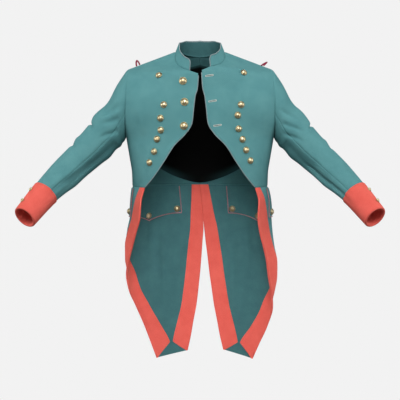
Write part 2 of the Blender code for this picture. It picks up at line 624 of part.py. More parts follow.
def make_body(side, word):
    """The front and the back of one side."""
    wall(f"front_{word}", "green_wool", body_spots(side, FRONT_CUTS, BODY_SHARES), 0, -CLOTH, side)
    wall(f"back_{word}", "green_wool", body_spots(side, BACK_CUTS, BODY_SHARES), 0, -CLOTH, side)


def make_front_piping(side, word):
    """The piping down a front edge, from its top corner to the waist."""
    cuts = [v for v in FRONT_CUTS if v < FRONT_CORNER_ROW][1:]
    edge = [Spot(body_point(0, v, side), normal_at(body_point, 0, v, side))
            for v in (PIPING_END, *cuts, FRONT_CORNER_ROW - 2 * PIPING_END)]
    pipe(f"front_piping_{word}", "rose_piping", piping_beside(edge, -CLOTH / 2, -1), side)


def collar_spots():
    """The collar's spots, from one front end round the back of the neck to the other."""
    columns = [(-1, v) for v in COLLAR_CUTS[:-1]] + [(1, v) for v in reversed(COLLAR_CUTS)]
    spots = []
    for height in COLLAR_HEIGHTS:
        line = []
        for side, v in columns:
            flip = Vector((side, 1, 1))
            rise = read_table("collar", v)["rise"]
            from_end = (collar_point(v, 1, side) - collar_point(COLLAR_CUTS[0], 1, side)).length
            short = max(COLLAR_ROUND - from_end, 0)
            cut = (COLLAR_ROUND - math.sqrt(COLLAR_ROUND**2 - short**2)) / rise
            share = height * (1 - cut)
            normal = normal_at(collar_point, v, share, side, last_v=math.inf)
            if v == BACK_NECK_ROW:
                normal = Vector((0, 1, -read_table("collar", v)["in_y"] / rise)).normalized()
            line.append(Spot(collar_point(v, share, side) * flip, normal * flip))
        spots.append(line)
    return spots


def make_collar():
    """The standing collar and the piping round its free edges."""
    spots = collar_spots()
    wall("collar", "green_wool", spots, 0, -CLOTH)
    left_end = [line[0] for line in spots[:-1]]
    right_end = [line[-1] for line in reversed(spots[:-1])]
    edge = left_end + spots[-1] + right_end
    pipe("collar_piping", "rose_piping", piping_beside(edge, -CLOTH / 2, COLLAR_OUTSIDE))


def sleeve_spots(cuts, angles, seam_first=False):
    """Sleeve spots on the given rings and angles. Its seams stand back by half a gap."""
    spots = []
    for v in cuts:
        line = []
        for angle in angles:
            row_v = moved_along_v(sleeve_point, angle, v, 1, ARMHOLE_GAP) if v == 0 else v
            row_angle = angle
            if seam_first and angle in (angles[0], angles[-1]):
                distance = GAP / 2 if angle == angles[0] else -GAP / 2
                row_angle = moved_along_u(sleeve_point, angle, row_v, 1, distance)
            through = armhole_way((angle + 180) % 360 - 180, True) if v == 0 else None
            normal = normal_at(sleeve_point, row_angle, max(row_v, 0.003), 1, step_u=0.5)
            line.append(Spot(sleeve_point(row_angle, row_v), normal, through))
        spots.append(line)
    return spots


def make_sleeve(side, word):
    """The top sleeve, the under sleeve and the cuff."""
    top = range(-SLEEVE_SEAM, SLEEVE_SEAM + 1, SLEEVE_STEP)
    under = range(SLEEVE_SEAM, 360 - SLEEVE_SEAM + 1, SLEEVE_STEP)
    for part, angles in (("top", top), ("under", under)):
        spots = sleeve_spots(SLEEVE_CUTS, angles, seam_first=True)
        wall(f"sleeve_{part}_{word}", "green_wool", spots, 0, -CLOTH, side)
    spots = sleeve_spots(CUFF_CUTS, range(0, 360, SLEEVE_STEP))
    wall(f"cuff_{word}", "scarlet_wool", spots, GAP + CLOTH, GAP, side, ring=True)


@functools.lru_cache(maxsize=None)
def row_lengths(v, side):
    """Distances from the vent edge to evenly counted places along a tail row."""
    points = [tail_point(i / ROW_SAMPLES, v, side) for i in range(ROW_SAMPLES + 1)]
    lengths = [0.0]
    for before, after in zip(points, points[1:]):
        lengths.append(lengths[-1] + (after - before).length)
    return tuple(lengths)


def tail_u(distance, v, side):
    """The u of a tail row at a distance from its vent edge."""
    lengths = row_lengths(v, side)
    k = max(i for i in range(ROW_SAMPLES) if lengths[i] <= max(distance, 0))
    return (k + (distance - lengths[k]) / (lengths[k + 1] - lengths[k])) / ROW_SAMPLES


def tail_spot(distance, v, side):
    """The tail's spot at a distance from the vent edge. Past an edge it runs straight on."""
    length = row_lengths(v, side)[-1]
    inside = min(max(distance, 0), length)
    u = tail_u(inside, v, side)
    point = tail_point(u, v, side)
    beyond = distance - inside
    if beyond:
        along = (tail_point(u, v, side) - tail_point(u - 0.002, v, side)).normalized()
        point = point + along * beyond
    return Spot(point, normal_at(tail_point, u, v, side))


def band_widths(v):
    """Widths of the vent facing and the front facing at a row. They run out in a mitre at the hem."""
    row = read_table("band", v)
    left = min(1, (TAIL_CUTS[-1] - v) / (TAIL_CUTS[-1] - MITRE_CUT))
    return tuple(BAND_LAST + (row[key] - BAND_LAST) * left for key in ("vent", "front"))


def tail_distances(v, side):
    """Distances across a tail row: the columns of the vent facing, the middle and the front facing."""
    length = row_lengths(v, side)[-1]
    vent, front = band_widths(v)
    middle = [vent + (length - vent - front) * share for share in TAIL_SHARES]
    return [0, vent / 2, *middle, length - front / 2, length]


def make_tail(side, word):
    """One tail and the two facings that are turned back round its edges."""
    top = moved_along_v(tail_point, 0.5, 0, side, GAP / 2)
    cuts = (top, *TAIL_CUTS[1:])
    spots = [[tail_spot(d, v, side) for d in tail_distances(v, side)] for v in cuts]
    wall(f"tail_{word}", "green_wool", spots, 0, -CLOTH, side)
    cuts = (BAND_START, *TAIL_CUTS[1:])
    for edge, columns in (("vent", (0, 1, 2)), ("front", (-1, -2, -3))):
        grids = {"outer": [], "inner": []}
        for v in cuts:
            distances = tail_distances(v, side)
            legs = [tail_spot(distances[c], v, side) for c in reversed(columns)]
            away = -1 if edge == "vent" else 1
            for grid, lift in (("outer", FACING_GAP + FACING), ("inner", FACING_GAP)):
                turn = tail_spot(distances[columns[0]] + away * lift, v, side)
                legs_out = [spot.out(lift) for spot in legs[:-1]]
                legs_in = [spot.out(-CLOTH - lift) for spot in reversed(legs[:-1])]
                line = [*legs_out, turn.out(lift), turn.out(-CLOTH - lift), *legs_in]
                grids[grid].append(line)
        name = f"{edge}_facing_{word}"
        against = (0, 1) if edge == "vent" else (3, 4)
        closed_solid(name, "scarlet_wool", grids["outer"], grids["inner"], side, crossed=against)


def flap_drop(share):
    """How far the pocket flap hangs at a share of its width."""
    return FLAP_CORNER + (FLAP_POINT - FLAP_CORNER) * (1 - abs(2 * share - 1)) ** FLAP_CURVE


def flap_spot(share, drop, side):
    """The tail's spot under a place of the pocket flap."""
    v = row_where(f"tail_{side}", "vent_z", TAIL_ROWS[side][0]["vent_z"] - drop, 0, 5)
    width = row_lengths(v, side)[-1] - FLAP_FRONT_FROM_EDGE - FLAP_REAR[side]
    return tail_spot(FLAP_REAR[side] + width * share, v, side)


def make_flap(side, word):
    """A pocket flap, its piping, and the same piping where it shows on the inside of the tail."""
    spots = [
        [flap_spot(share, FLAP_TOP + (flap_drop(share) - FLAP_TOP) * down, side) for share in FLAP_SHARES]
        for down in FLAP_DROPS
    ]
    clears = (FLAP_SEAM_CLEAR, *[FLAP_CLEAR] * (len(spots) - 1))
    outer = [[spot.out(clear + FACING) for spot in line] for clear, line in zip(clears, spots)]
    inner = [[spot.out(clear) for spot in line] for clear, line in zip(clears, spots)]
    closed_solid(f"pocket_flap_{word}", "green_wool", outer, inner, side)
    edge = [line[0] for line in spots[:-1]] + spots[-1] + [line[-1] for line in reversed(spots[:-1])]
    outside = piping_beside(edge, FLAP_CLEAR + PIPE_RADIUS, FLAP_OUTSIDE, FLAP_PIPING_OUT)
    pipe(f"flap_piping_{word}", "rose_piping", outside, side)
    inside = [spot.out(-CLOTH - STAY_CLEAR - PIPE_RADIUS) for spot in edge]
    pipe(f"stay_piping_{word}", "rose_piping", inside, side)


def make_lining():
    """The black half-lining inside the back, with a round lower edge."""
    columns = [(-1, u) for u in reversed(LINING_SHARES[1:])] + [(1, u) for u in LINING_SHARES]
    shared = [v for v in BACK_CUTS if LINING_TOP <= v <= LINING_SHARED_LAST]
    rows = [(v, 0) for v in shared]
    rows += [(shared[-1], (k + 1) / LINING_OWN_ROWS) for k in range(LINING_OWN_ROWS)]
    spots = []
    for start, share in rows:
        line = []
        for side, u in columns:
            flip = Vector((side, 1, 1))
            end = LINING_DEEPEST - LINING_SLOPE * (math.hypot(u, LINING_ROUND) - LINING_ROUND)
            v = start + (end - start) * share
            line.append(Spot(body_point(u, v, side) * flip, normal_at(body_point, u, v, side) * flip))
        spots.append(line)
    wall("back_lining", "black_lining", spots, -CLOTH - LINING_CLEAR, -CLOTH - LINING_CLEAR - LINING)


def make_shoulder_loop(side, word):
    """A standing loop of thick braid on the shoulder seam."""
    loop = LOOPS[side]
    share = loop["share"]
    spot = Spot(body_point(share, SHOULDER_ROW), normal_at(body_point, share, SHOULDER_ROW, 1))
    along = (body_point(share + 0.01, SHOULDER_ROW) - spot.point).normalized()
    lean = math.radians(loop["lean"])
    up = spot.normal * math.cos(lean) + along * math.sin(lean)
    foot = spot.out(CLEAR)
    grids = []
    for inset in (0, LOOP_BRAID):
        grid = []
        for sideways in (-LOOP_WIDTH / 2, LOOP_WIDTH / 2):
            line = []
            for i in range(LOOP_STEPS + 1):
                a = math.pi * i / LOOP_STEPS
                reach = along * (loop["half"] - inset) * math.cos(a)
                rise = up * (loop["rise"] - inset) * math.sin(a)
                line.append(foot + reach + rise + Vector((0, sideways, 0)))
            grid.append(line)
        grids.append(grid)
    closed_solid(f"shoulder_loop_{word}", "crimson_braid", grids[0], grids[1], side)


def button_mesh(name, size):
    """A turned, domed button: flat back, short rim and a low dome."""
    diameter, height = size
    radius = diameter / 2
    profile = ((0, 0), (0.94, 0), (1, 0.35), (0.66, 0.84), (0, 1))
    bm = bmesh.new()
    points = [bm.verts.new((r * radius, 0, h * height)) for r, h in profile]
    edges = [bm.edges.new(pair) for pair in zip(points, points[1:])]
    bmesh.ops.spin(bm, geom=points + edges, cent=(0, 0, 0), axis=(0, 0, 1), angle=math.tau,
                   steps=BUTTON_SIDES, use_merge=True)
    bmesh.ops.remove_doubles(bm, verts=bm.verts, dist=MERGE)
    bmesh.ops.recalc_face_normals(bm, faces=bm.faces)
    mesh = bpy.data.meshes.new(name)
    bm.to_mesh(mesh)
    bm.free()
    mesh.shade_smooth()
    return mesh


def place_button(name, mesh, point, normal, side):
    """Seats a button on a point, facing along the normal there."""
    flip = Vector((side, 1, 1))
    thing = place_object(name, mesh, "brass")
    thing.rotation_mode = "QUATERNION"
    thing.rotation_quaternion = (normal * flip).to_track_quat("Z", "Y")
    thing.location = point * flip
    return thing


def place_on_front(x, z, side):
    """The u and v of the front's point at that place across and down, found by closing in on it."""
    target = Vector((x, 0, z))

    def miss(u, v):
        point = body_point(u, v, side)
        return Vector((point.x, 0, point.z)) - target

    starts = [(i / 10, j / 2) for i in range(1, 10) for j in range(1, 25)]
    u, v = min(starts, key=lambda place: miss(*place).length)
    step = 0.01
    for _ in range(8):
        now = miss(u, v)
        du, dv = (miss(u + step, v) - now) / step, (miss(u, v + step) - now) / step
        size = du.x * dv.z - du.z * dv.x
        u += (now.z * dv.x - now.x * dv.z) / size
        v += (now.x * du.z - now.z * du.x) / size
    return u, v


def make_buttons():
    """Every button: the fronts', the cuffs', the pocket flaps' and the stay buttons behind those."""
    large = button_mesh("button_large", BUTTON_LARGE)
    medium = button_mesh("button_medium", BUTTON_MEDIUM)
    small = button_mesh("button_small", BUTTON_SMALL)

    def on_front(name, mesh, x, z, side):
        u, v = place_on_front(x, z, side)
        spot = Spot(body_point(u, v, side), normal_at(body_point, u, v, side))
        place_button(name, mesh, spot.out(BUTTON_SEAT), spot.normal, side)

    for number, (x, z) in enumerate(CLOSING_BUTTONS, 1):
        on_front(f"closing_button_{number}", large, x, z, CLOSING_SIDE)
    for side, word in SIDES:
        for number, (x, z) in enumerate(ROW_BUTTONS[side], 1):
            on_front(f"row_button_{word}_{number}", medium, x, z, side)
        for number, at in enumerate(CUFF_BUTTONS, 1):
            spot = sleeve_spots((at["row"],), (at["angle"],))[0][0]
            seat = spot.out(GAP + CLOTH + BUTTON_SEAT)
            place_button(f"cuff_button_{word}_{number}", small, seat, spot.normal, side)
        width = row_lengths(1, side)[-1] - FLAP_FRONT_FROM_EDGE - FLAP_REAR[side]
        inset = FLAP_BUTTON_IN / width
        places = (
            ("rear", inset, FLAP_CORNER - FLAP_BUTTON_IN),
            ("point", 0.5, FLAP_POINT - POINT_BUTTON_UP),
            ("front", 1 - inset, FLAP_CORNER - FLAP_BUTTON_IN),
        )
        for place, share, drop in places:
            spot = flap_spot(share, drop, side)
            seat = spot.out(FLAP_CLEAR + FACING + BUTTON_SEAT)
            place_button(f"flap_button_{word}_{place}", medium, seat, spot.normal, side)
        for place, share, drop in (places[0], ("point", 0.5, FLAP_POINT - STAY_POINT_UP)):
            spot = flap_spot(share, drop, side)
            seat = spot.out(-CLOTH - STAY_SEAT)
            place_button(f"stay_button_{word}_{place}", medium, seat, -spot.normal, side)


def build():
    """Builds the whole coat."""
    clear_scene()
    make_collar()
    make_lining()
    for side, word in SIDES:
        make_body(side, word)
        make_front_piping(side, word)
        make_sleeve(side, word)
        make_tail(side, word)
        make_flap(side, word)
        make_shoulder_loop(side, word)
    make_buttons()


build()
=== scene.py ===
"""Looks of a cutaway tailcoat: green broadcloth, scarlet facings and cuffs, rose piping, brass buttons.

Metres, +Z up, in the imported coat's own frame. +X is the wearer's left and the front faces -Y. Every panel
is drawn again as a fine cloth shell on the surface of its solid, from the same tables of sizes, with its
folds, seams, stitching and edges. A form is worked out for the left side, and mirrored for the right.
"""

from __future__ import annotations

import logging
import math
from dataclasses import dataclass, field
from enum import Enum
from functools import cached_property
from typing import Iterable, Sequence

import bmesh
import bpy
import numpy as np
from mathutils import Matrix, Vector
from mathutils.bvhtree import BVHTree


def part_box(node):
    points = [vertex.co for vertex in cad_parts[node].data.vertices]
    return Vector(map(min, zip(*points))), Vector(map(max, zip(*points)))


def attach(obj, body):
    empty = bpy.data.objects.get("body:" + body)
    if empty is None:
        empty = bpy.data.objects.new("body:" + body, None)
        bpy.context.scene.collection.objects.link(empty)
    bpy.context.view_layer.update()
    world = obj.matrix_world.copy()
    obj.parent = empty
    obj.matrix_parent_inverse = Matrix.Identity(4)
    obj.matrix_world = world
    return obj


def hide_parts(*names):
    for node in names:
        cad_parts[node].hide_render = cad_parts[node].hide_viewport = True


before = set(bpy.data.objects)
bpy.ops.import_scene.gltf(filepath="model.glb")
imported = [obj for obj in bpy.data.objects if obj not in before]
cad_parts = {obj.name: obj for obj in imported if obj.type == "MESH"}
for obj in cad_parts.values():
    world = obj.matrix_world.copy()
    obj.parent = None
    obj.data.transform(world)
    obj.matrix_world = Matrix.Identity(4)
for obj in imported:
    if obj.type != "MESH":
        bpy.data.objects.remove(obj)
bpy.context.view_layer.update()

LOG = logging.getLogger("tailcoat")
Array = np.ndarray
Point = tuple[float, float, float]
Tree = bpy.types.NodeTree
Socket = bpy.types.NodeSocket

# Cloth and seams.
CLOTH = 0.0025
FACING = 0.0015
LINING = 0.001
GAP = 0.0003
PIPE_RADIUS = 0.0014
FACING_GAP = 0.0006
LINING_CLEAR = 0.0034
STAY_CLEAR = 0.0009
FLAP_CLEAR = 0.0018
FLAP_SEAM_CLEAR = 0.0012
FLAP_PIPING_OUT = 0.0026

# Size of the cloth shells' cells, the rows of cells beside a seam and the dip of the cloth into it.
CELL = 0.0036
SEAM_STEPS = (0.0009, 0.0021, 0.0040)
SEAM_DEPTH = 0.0014
SEAM_WIDTH = 0.0020
# How far a shell reaches past its edge into a seam, so that no light shows through.
SEAM_LAP = 0.0004
ARMHOLE_LAP = 0.0022
# An armhole seam is thicker, so the cloth turns down this many times as far into it.
ARMHOLE_SEAM = 1.3
# A cut edge is softened by this much, or by that share of a thinner cloth, where it turns more sharply.
EDGE_BEVEL = 0.0005
EDGE_SHARE = 0.3
EDGE_ANGLE = 50

SIDE_SEAM_Y = 0.004
# Side seam below the armpit, which is place 1.
SIDE_SEAM_COLUMNS = ("place", "x", "z")
SIDE_SEAM = (
    (1.0, 0.2348, -0.2705),
    (1.4, 0.224, -0.335),
    (1.75, 0.217, -0.385),
    (2.0, 0.216, -0.4255),
)
# Body rows, up the front from the waist, over the shoulder at row 13 and down the back to the waist.
BODY_COLUMNS = ("x", "y", "z", "turn", "reach", "place", "turn_out", "reach_out", "drop")
BODY_ROWS = (
    (0.1755, -0.068, -0.4255, 50, 0.025, -2.0, 90, 0.03, 0.0),
    (0.1445, -0.096, -0.388, 35, 0.035, -1.77, 90, 0.052, 0.0),
    (0.112, -0.117, -0.34, 22, 0.05, -1.43, 90, 0.068, 0.0),
    (0.079, -0.129, -0.2893, 10, 0.07, -1.12, 90, 0.08, 0.0),
    (0.047, -0.1315, -0.257, 5, 0.09, -1.0, 88, 0.082, 0.0),
    (0.026, -0.1315, -0.2225, 2, 0.105, -0.833, 79, 0.066, 0.0),
    (0.021, -0.128, -0.179, 0, 0.11, -0.64, 62, 0.055, 0.0),
    (0.0163, -0.121, -0.142, 0, 0.11, -0.472, 50, 0.052, 0.0),
    (0.0095, -0.114, -0.1146, 0, 0.105, -0.367, 42, 0.05, 0.002),
    (0.0062, -0.106, -0.068, 0, 0.095, -0.26, 32, 0.05, 0.005),
    (0.034, -0.098, -0.057, 2, 0.075, -0.2, 25, 0.05, 0.006),
    (0.0665, -0.063, -0.042, 4, 0.055, -0.122, 15, 0.05, 0.004),
    (0.079, -0.024, -0.019, 2, 0.05, -0.045, 6, 0.05, 0.002),
    (0.0775, 0.003, 0.0, 0, 0.05, 0.0, 0, 0.05, 0.0),
    (0.06, 0.038, -0.003, -2, 0.055, 0.07, -8, 0.05, 0.0),
    (0.032, 0.059, -0.009, -1, 0.07, 0.16, -18, 0.05, 0.0),
    (0.0, 0.066, -0.012, 0, 0.085, 0.26, -30, 0.05, 0.0),
    (0.0, 0.086, -0.05, 0, 0.1, 0.37, -42, 0.05, 0.0),
    (0.0, 0.103, -0.1, 0, 0.105, 0.5, -52, 0.05, 0.0),
    (0.0, 0.115, -0.17, 0, 0.11, 0.68, -66, 0.05, 0.0),
    (0.0, 0.117, -0.235, 0, 0.12, 0.87, -82, 0.064, 0.0),
    (0.0, 0.112, -0.285, 0, 0.125, 1.0, -90, 0.078, 0.0),
    (0.0, 0.101, -0.34, 0, 0.12, 1.43, -90, 0.066, 0.0),
    (0.0, 0.092, -0.388, 0, 0.115, 1.77, -90, 0.053, 0.0),
    (0.0, 0.09, -0.4255, 0, 0.115, 2.0, -90, 0.047, 0.0),
)
# Collar: how far its top edge stands in from the neckline and above it.
COLLAR_COLUMNS = ("row", "in_x", "in_y", "rise")
COLLAR_ROWS = (
    (10.0, 0.003, 0.002, 0.03),
    (11.0, 0.014, 0.002, 0.028),
    (13.0, 0.011, 0.0, 0.026),
    (14.5, 0.008, -0.005, 0.04),
    (16.0, 0.0, -0.006, 0.048),
)
# Sleeve rings, from the armhole to the cuff's mouth.
SLEEVE_COLUMNS = ("x", "y", "z", "tilt", "turn", "half", "deep")
SLEEVE_ROWS = (
    (0.232, 0.004, -0.1635, -1.5, 0.0, 0.107, 0.074),
    (0.251, 0.004, -0.192, 5.8, 0, 0.0915, 0.072),
    (0.267, 0.004, -0.219, 16.5, 1, 0.072, 0.068),
    (0.286, 0.002, -0.2445, 31.0, 3, 0.064, 0.063),
    (0.3065, 0.0, -0.2657, 45.0, 5, 0.059, 0.06),
    (0.3553, -0.0113, -0.3179, 50.0, 13, 0.0549, 0.0559),
    (0.4218, -0.0432, -0.3822, 51.0, 23, 0.0498, 0.0498),
    (0.4782, -0.0915, -0.4395, 50.0, 34, 0.0407, 0.0425),
    (0.5323, -0.1606, -0.5095, 48.0, 41, 0.0349, 0.037),
)
# Tail rows, from the waist seam to the hem.
TAIL_COLUMNS = (
    "vent_x", "vent_y", "side_x", "side_y", "side_turn",
    "front_x", "front_y", "front_turn", "vent_z", "front_z",
)
TAIL_LEFT = (
    (0.0025, 0.09, 0.216, 0.004, -90, 0.1755, -0.068, -130, -0.4255, -0.4255),
    (0.0062, 0.094, 0.2245, 0.002, -90, 0.186, -0.072, -125, -0.47, -0.47),
    (0.01, 0.098, 0.229, 0.008, -90, 0.184, -0.066, -125, -0.52, -0.52),
    (0.0155, 0.102, 0.2335, 0.014, -88, 0.1915, -0.052, -118, -0.57, -0.57),
    (0.021, 0.106, 0.2405, 0.022, -84, 0.205, -0.034, -110, -0.62, -0.62),
    (0.0268, 0.109, 0.2485, 0.028, -78, 0.2155, -0.013, -104, -0.665, -0.665),
    (0.033, 0.112, 0.2495, 0.038, -72, 0.2235, 0.006, -100, -0.72, -0.72),
    (0.04, 0.114, 0.243, 0.052, -62, 0.233, 0.026, -88, -0.77, -0.77),
    (0.0485, 0.116, 0.228, 0.074, -48, 0.2385, 0.054, -58, -0.83, -0.83),
    (0.06, 0.118, 0.208, 0.094, -36, 0.222, 0.082, -40, -0.89, -0.9),
    (0.068, 0.119, 0.184, 0.107, -24, 0.198, 0.1, -28, -0.935, -0.96),
    (0.08, 0.12, 0.162, 0.115, -12, 0.176, 0.1115, -15, -0.9864, -1.015),
)
TAIL_RIGHT = (
    (0.0025, 0.09, 0.216, 0.004, -90, 0.1755, -0.068, -130, -0.4255, -0.4255),
    (-0.0015, 0.094, 0.22, 0.002, -90, 0.187, -0.07, -125, -0.47, -0.47),
    (-0.0055, 0.098, 0.2245, 0.008, -90, 0.191, -0.062, -120, -0.52, -0.52),
    (-0.0095, 0.102, 0.235, 0.016, -86, 0.205, -0.046, -112, -0.57, -0.57),
    (-0.006, 0.106, 0.2405, 0.026, -78, 0.219, -0.018, -104, -0.62, -0.62),
    (-0.003, 0.109, 0.241, 0.036, -70, 0.231, 0.004, -95, -0.665, -0.665),
    (0.0015, 0.112, 0.23, 0.058, -60, 0.2395, 0.034, -70, -0.72, -0.72),
    (0.0065, 0.114, 0.22, 0.074, -50, 0.233, 0.054, -58, -0.77, -0.77),
    (0.0135, 0.116, 0.198, 0.093, -38, 0.2115, 0.08, -44, -0.83, -0.83),
    (0.0245, 0.118, 0.17, 0.107, -25, 0.1845, 0.099, -30, -0.89, -0.9),
    (0.032, 0.119, 0.152, 0.112, -18, 0.165, 0.1065, -22, -0.935, -0.955),
    (0.0432, 0.12, 0.132, 0.115, -10, 0.145, 0.112, -12, -0.9888, -1.0122),
)
# Widths of the turned-back facings down the tail.
BAND_COLUMNS = ("row", "vent", "front")
BAND_ROWS = (
    (0, 0.025, 0.018),
    (1, 0.03, 0.03),
    (2, 0.036, 0.044),
    (3, 0.042, 0.047),
    (5, 0.046, 0.048),
    (8, 0.049, 0.049),
    (9, 0.053, 0.054),
    (10, 0.058, 0.061),
    (11, 0.059, 0.062),
)
# Largest folds of the sleeves, which the solids have too.
SLEEVE_FOLD_COLUMNS = ("row", "angle", "along", "round", "slant", "height")
SLEEVE_FOLDS = (
    (3.1, 20, 0.5, 75, 30, 0.0045),
    (2.2, 50, 0.5, 60, -40, -0.003),
    (4.6, 200, 0.28, 60, 20, 0.0045),
    (5.5, 120, 0.28, 55, 45, -0.004),
    (6.1, 250, 0.24, 70, -30, 0.0035),
)
# The inner edge turns sharply at the front's top corner, and the neckline is level at the centre back.
BODY_CORNERS = {
    "x": {9: "sharp", 16: "sharp"},
    "y": {9: "sharp", 16: "level"},
    "z": {9: "sharp", 16: "level"},
}
FRONT_CORNER_ROW = 9
COLLAR_ROW = 10
SHOULDER_ROW = 13
BACK_NECK_ROW = 16
WAIST_ROW = 24
# The rows are eased about the armpit over this spread, reach and fade, away from the edges' own strips.
ARMPIT_ROWS = (4, 21)
ARMPIT_EASE = 0.9
ARMPIT_REACH = 1.8
ARMPIT_FADE = 1.3
ARMPIT_EDGE = 0.1
# How far short of the waist the fronts' edging ends, in rows, and by twice that of the top corner.
PIPING_END = 0.06
# Share of a fold's length over which it rises at each end.
FOLD_END = 0.35
# Rows beside one that a panel has to keep, and the distance within which they take others' place.
KEPT_STEP = 0.02
KEPT_CLEAR = 0.03
# A cord's end narrows in two rings: how far each is pushed in, in radii, and its share of the radius.
CORD_ENDS = ((0.0, 0.05), (0.35, 0.75))
CORD_CAP = 0.8
# Known places of the surfaces, across and down.
BODY_STEPS = (121, 481)
SLEEVE_STEPS = (199, 201)
SLEEVE_ANGLES = (-126, 270)
# How far off the cloth the needle starts, and the share of a stitch's radius that stands out of it.
NEEDLE_REACH = 0.03
STITCH_OUT = 0.35
# Bands of a wave texture in one unit of its scale.
BANDS_PER_UNIT = 3.2
# What the lamps and the camera aim at.
COAT_MIDDLE = (0.0, 0.0, -0.47)

# How far the tail rows keep their headings, and where a row's widest place is.
TAIL_SIDE_SHARE = 0.75
REAR_REACH = 0.54
REAR_LEAST = 0.02
FRONT_REACH = 0.36
COLLAR_ROUND = 0.009


class Side(Enum):
    """One side of the coat, as its wearer calls it."""

    LEFT = 1
    RIGHT = -1

    @property
    def word(self) -> str:
        """The side's name in the pieces' names."""
        return self.name.lower()

    @property
    def flip(self) -> Array:
        """The factors that turn the left side's points into this side's."""
        return np.array((self.value, 1.0, 1.0))


class Edge(Enum):
    """An edge of a tail that carries a turned-back facing."""

    VENT = "vent"
    FRONT = "front"


def smooth(places: Array, values: Array, at: Array, corners: dict[int, str]) -> Array:
    """Reads the curve through some values, which never overshoots them.

    Args:
        places: where the values are known, in rising order.
        values: the values there.
        at: the places to read.
        corners: rows where the curve may turn, "sharp" or "level".

    Returns:
        The curve's values at those places.
    """
    last = len(places) - 1
    steps = np.diff(places)
    rises = np.diff(values) / steps
    arriving, leaving = np.zeros(last + 1), np.zeros(last + 1)
    for i in range(last + 1):
        if i in (0, last) or i in corners:
            leaving[i] = rises[i] if i < last else 0.0
            arriving[i] = 0.0 if i == 0 or corners.get(i) == "level" else rises[i - 1]
            continue
        before, after = rises[i - 1], rises[i]
        if before * after > 0:
            near, far = steps[i - 1], steps[i]
            arriving[i] = 3 * (near + far) / ((2 * far + near) / before + (far + 2 * near) / after)
        leaving[i] = arriving[i]
    at = np.clip(at, places[0], places[-1])
    k = np.clip(np.searchsorted(places, at, side="right") - 1, 0, last - 1)
    t = (at - places[k]) / steps[k]
    return (
        values[k] * (1 + 2 * t) * (1 - t) ** 2
        + leaving[k] * steps[k] * t * (1 - t) ** 2
        + values[k + 1] * t * t * (3 - 2 * t)
        - arriving[k + 1] * steps[k] * t * t * (1 - t)
    )


@dataclass(frozen=True)
class Table:
    """Rows of named sizes, read as smooth curves between the rows."""

    columns: tuple[str, ...]
    rows: tuple[tuple[float, ...], ...]
    keyed: bool = False
    corners: dict[str, dict[int, str]] = field(default_factory=dict)

    def read(self, column: str, at: Array) -> Array:
        """One column at places between the rows, which a keyed table's first column gives."""
        values = np.array([row[self.columns.index(column)] for row in self.rows], float)
        places = [row[0] for row in self.rows] if self.keyed else range(len(self.rows))
        return smooth(np.array(places, float), values, np.asarray(at, float), self.corners.get(column, {}))


SIDE_SEAM_TABLE = Table(SIDE_SEAM_COLUMNS, SIDE_SEAM, keyed=True)
BODY_TABLE = Table(BODY_COLUMNS, BODY_ROWS, corners=BODY_CORNERS)
COLLAR_TABLE = Table(COLLAR_COLUMNS, COLLAR_ROWS, keyed=True)
SLEEVE_TABLE = Table(SLEEVE_COLUMNS, SLEEVE_ROWS)
TAIL_TABLES = {Side.LEFT: Table(TAIL_COLUMNS, TAIL_LEFT), Side.RIGHT: Table(TAIL_COLUMNS, TAIL_RIGHT)}
BAND_TABLE = Table(BAND_COLUMNS, BAND_ROWS, keyed=True)


def bezier(a: Array, b: Array, c: Array, d: Array, t: Array) -> Array:
    """Points at t on the cubic curves with these four points."""
    t = t[..., None]
    s = 1 - t
    return a * s**3 + 3 * b * s * s * t + 3 * c * s * t * t + d * t**3


def heading(degrees: Array) -> Array:
    """Level directions that many degrees from straight sideways towards the back."""
    turn = np.radians(degrees)
    return np.stack((np.cos(turn), np.sin(turn), np.zeros_like(turn)), axis=-1)


def unit(vectors: Array) -> Array:
    """The vectors at length one."""
    return vectors / np.maximum(np.linalg.norm(vectors, axis=-1, keepdims=True), 1e-12)


def ramp(x: Array) -> Array:
    """A smooth rise from 0 to 1 as x goes from 0 to 1."""
    x = np.clip(x, 0, 1)
    return x * x * (3 - 2 * x)


def arcs(line: Array) -> Array:
    """Distances along a line of points from its first point."""
    return np.concatenate(([0.0], np.cumsum(np.linalg.norm(np.diff(line, axis=0), axis=1))))


def between(at: Array, along: Array, line: Array) -> Array:
    """A line's points or directions at some distances, where along has the distances of its own points."""
    return np.stack([np.interp(at, along, line[:, axis]) for axis in range(3)], axis=-1)


def run(points: Array, axis: int) -> Array:
    """Distances down a grid's columns, on axis 0, or along its rows, on axis 1, from its first points."""
    steps = np.linalg.norm(np.diff(points, axis=axis), axis=-1)
    return np.insert(np.cumsum(steps, axis=axis), 0, 0.0, axis=axis)


def fold_lift(points: Array, start: Array, end: Array, width: float, height: float) -> Array:
    """How far a fold between two places lifts the cloth at each point. It rises from nothing at its ends."""
    along = end - start
    t = np.clip(((points - start) @ along) / (along @ along), 0, 1)
    away = np.linalg.norm(points - start - t[..., None] * along, axis=-1)
    return height * ramp(t / FOLD_END) * ramp((1 - t) / FOLD_END) * np.exp(-((away / width) ** 2))


def cell_places(length: float, cell: float, seam_first: bool = True, seam_last: bool = True) -> Array:
    """Distances for a panel's rows of cells, closer beside a seam.

    Args:
        length: the panel's length, in metres.
        cell: the size of a cell away from the seams.
        seam_first: whether the first edge is a seam.
        seam_last: whether the last edge is a seam.

    Returns:
        The distances, from 0 to the length.
    """
    start = list(SEAM_STEPS) if seam_first else []
    end = [length - step for step in reversed(SEAM_STEPS)] if seam_last else []
    low, high = (start or [0.0])[-1], (end or [length])[0]
    count = max(2, round((high - low) / cell))
    middle = [low + (high - low) * i / count for i in range(1, count)]
    return np.array(sorted({0.0, *start, *middle, *end, length}))


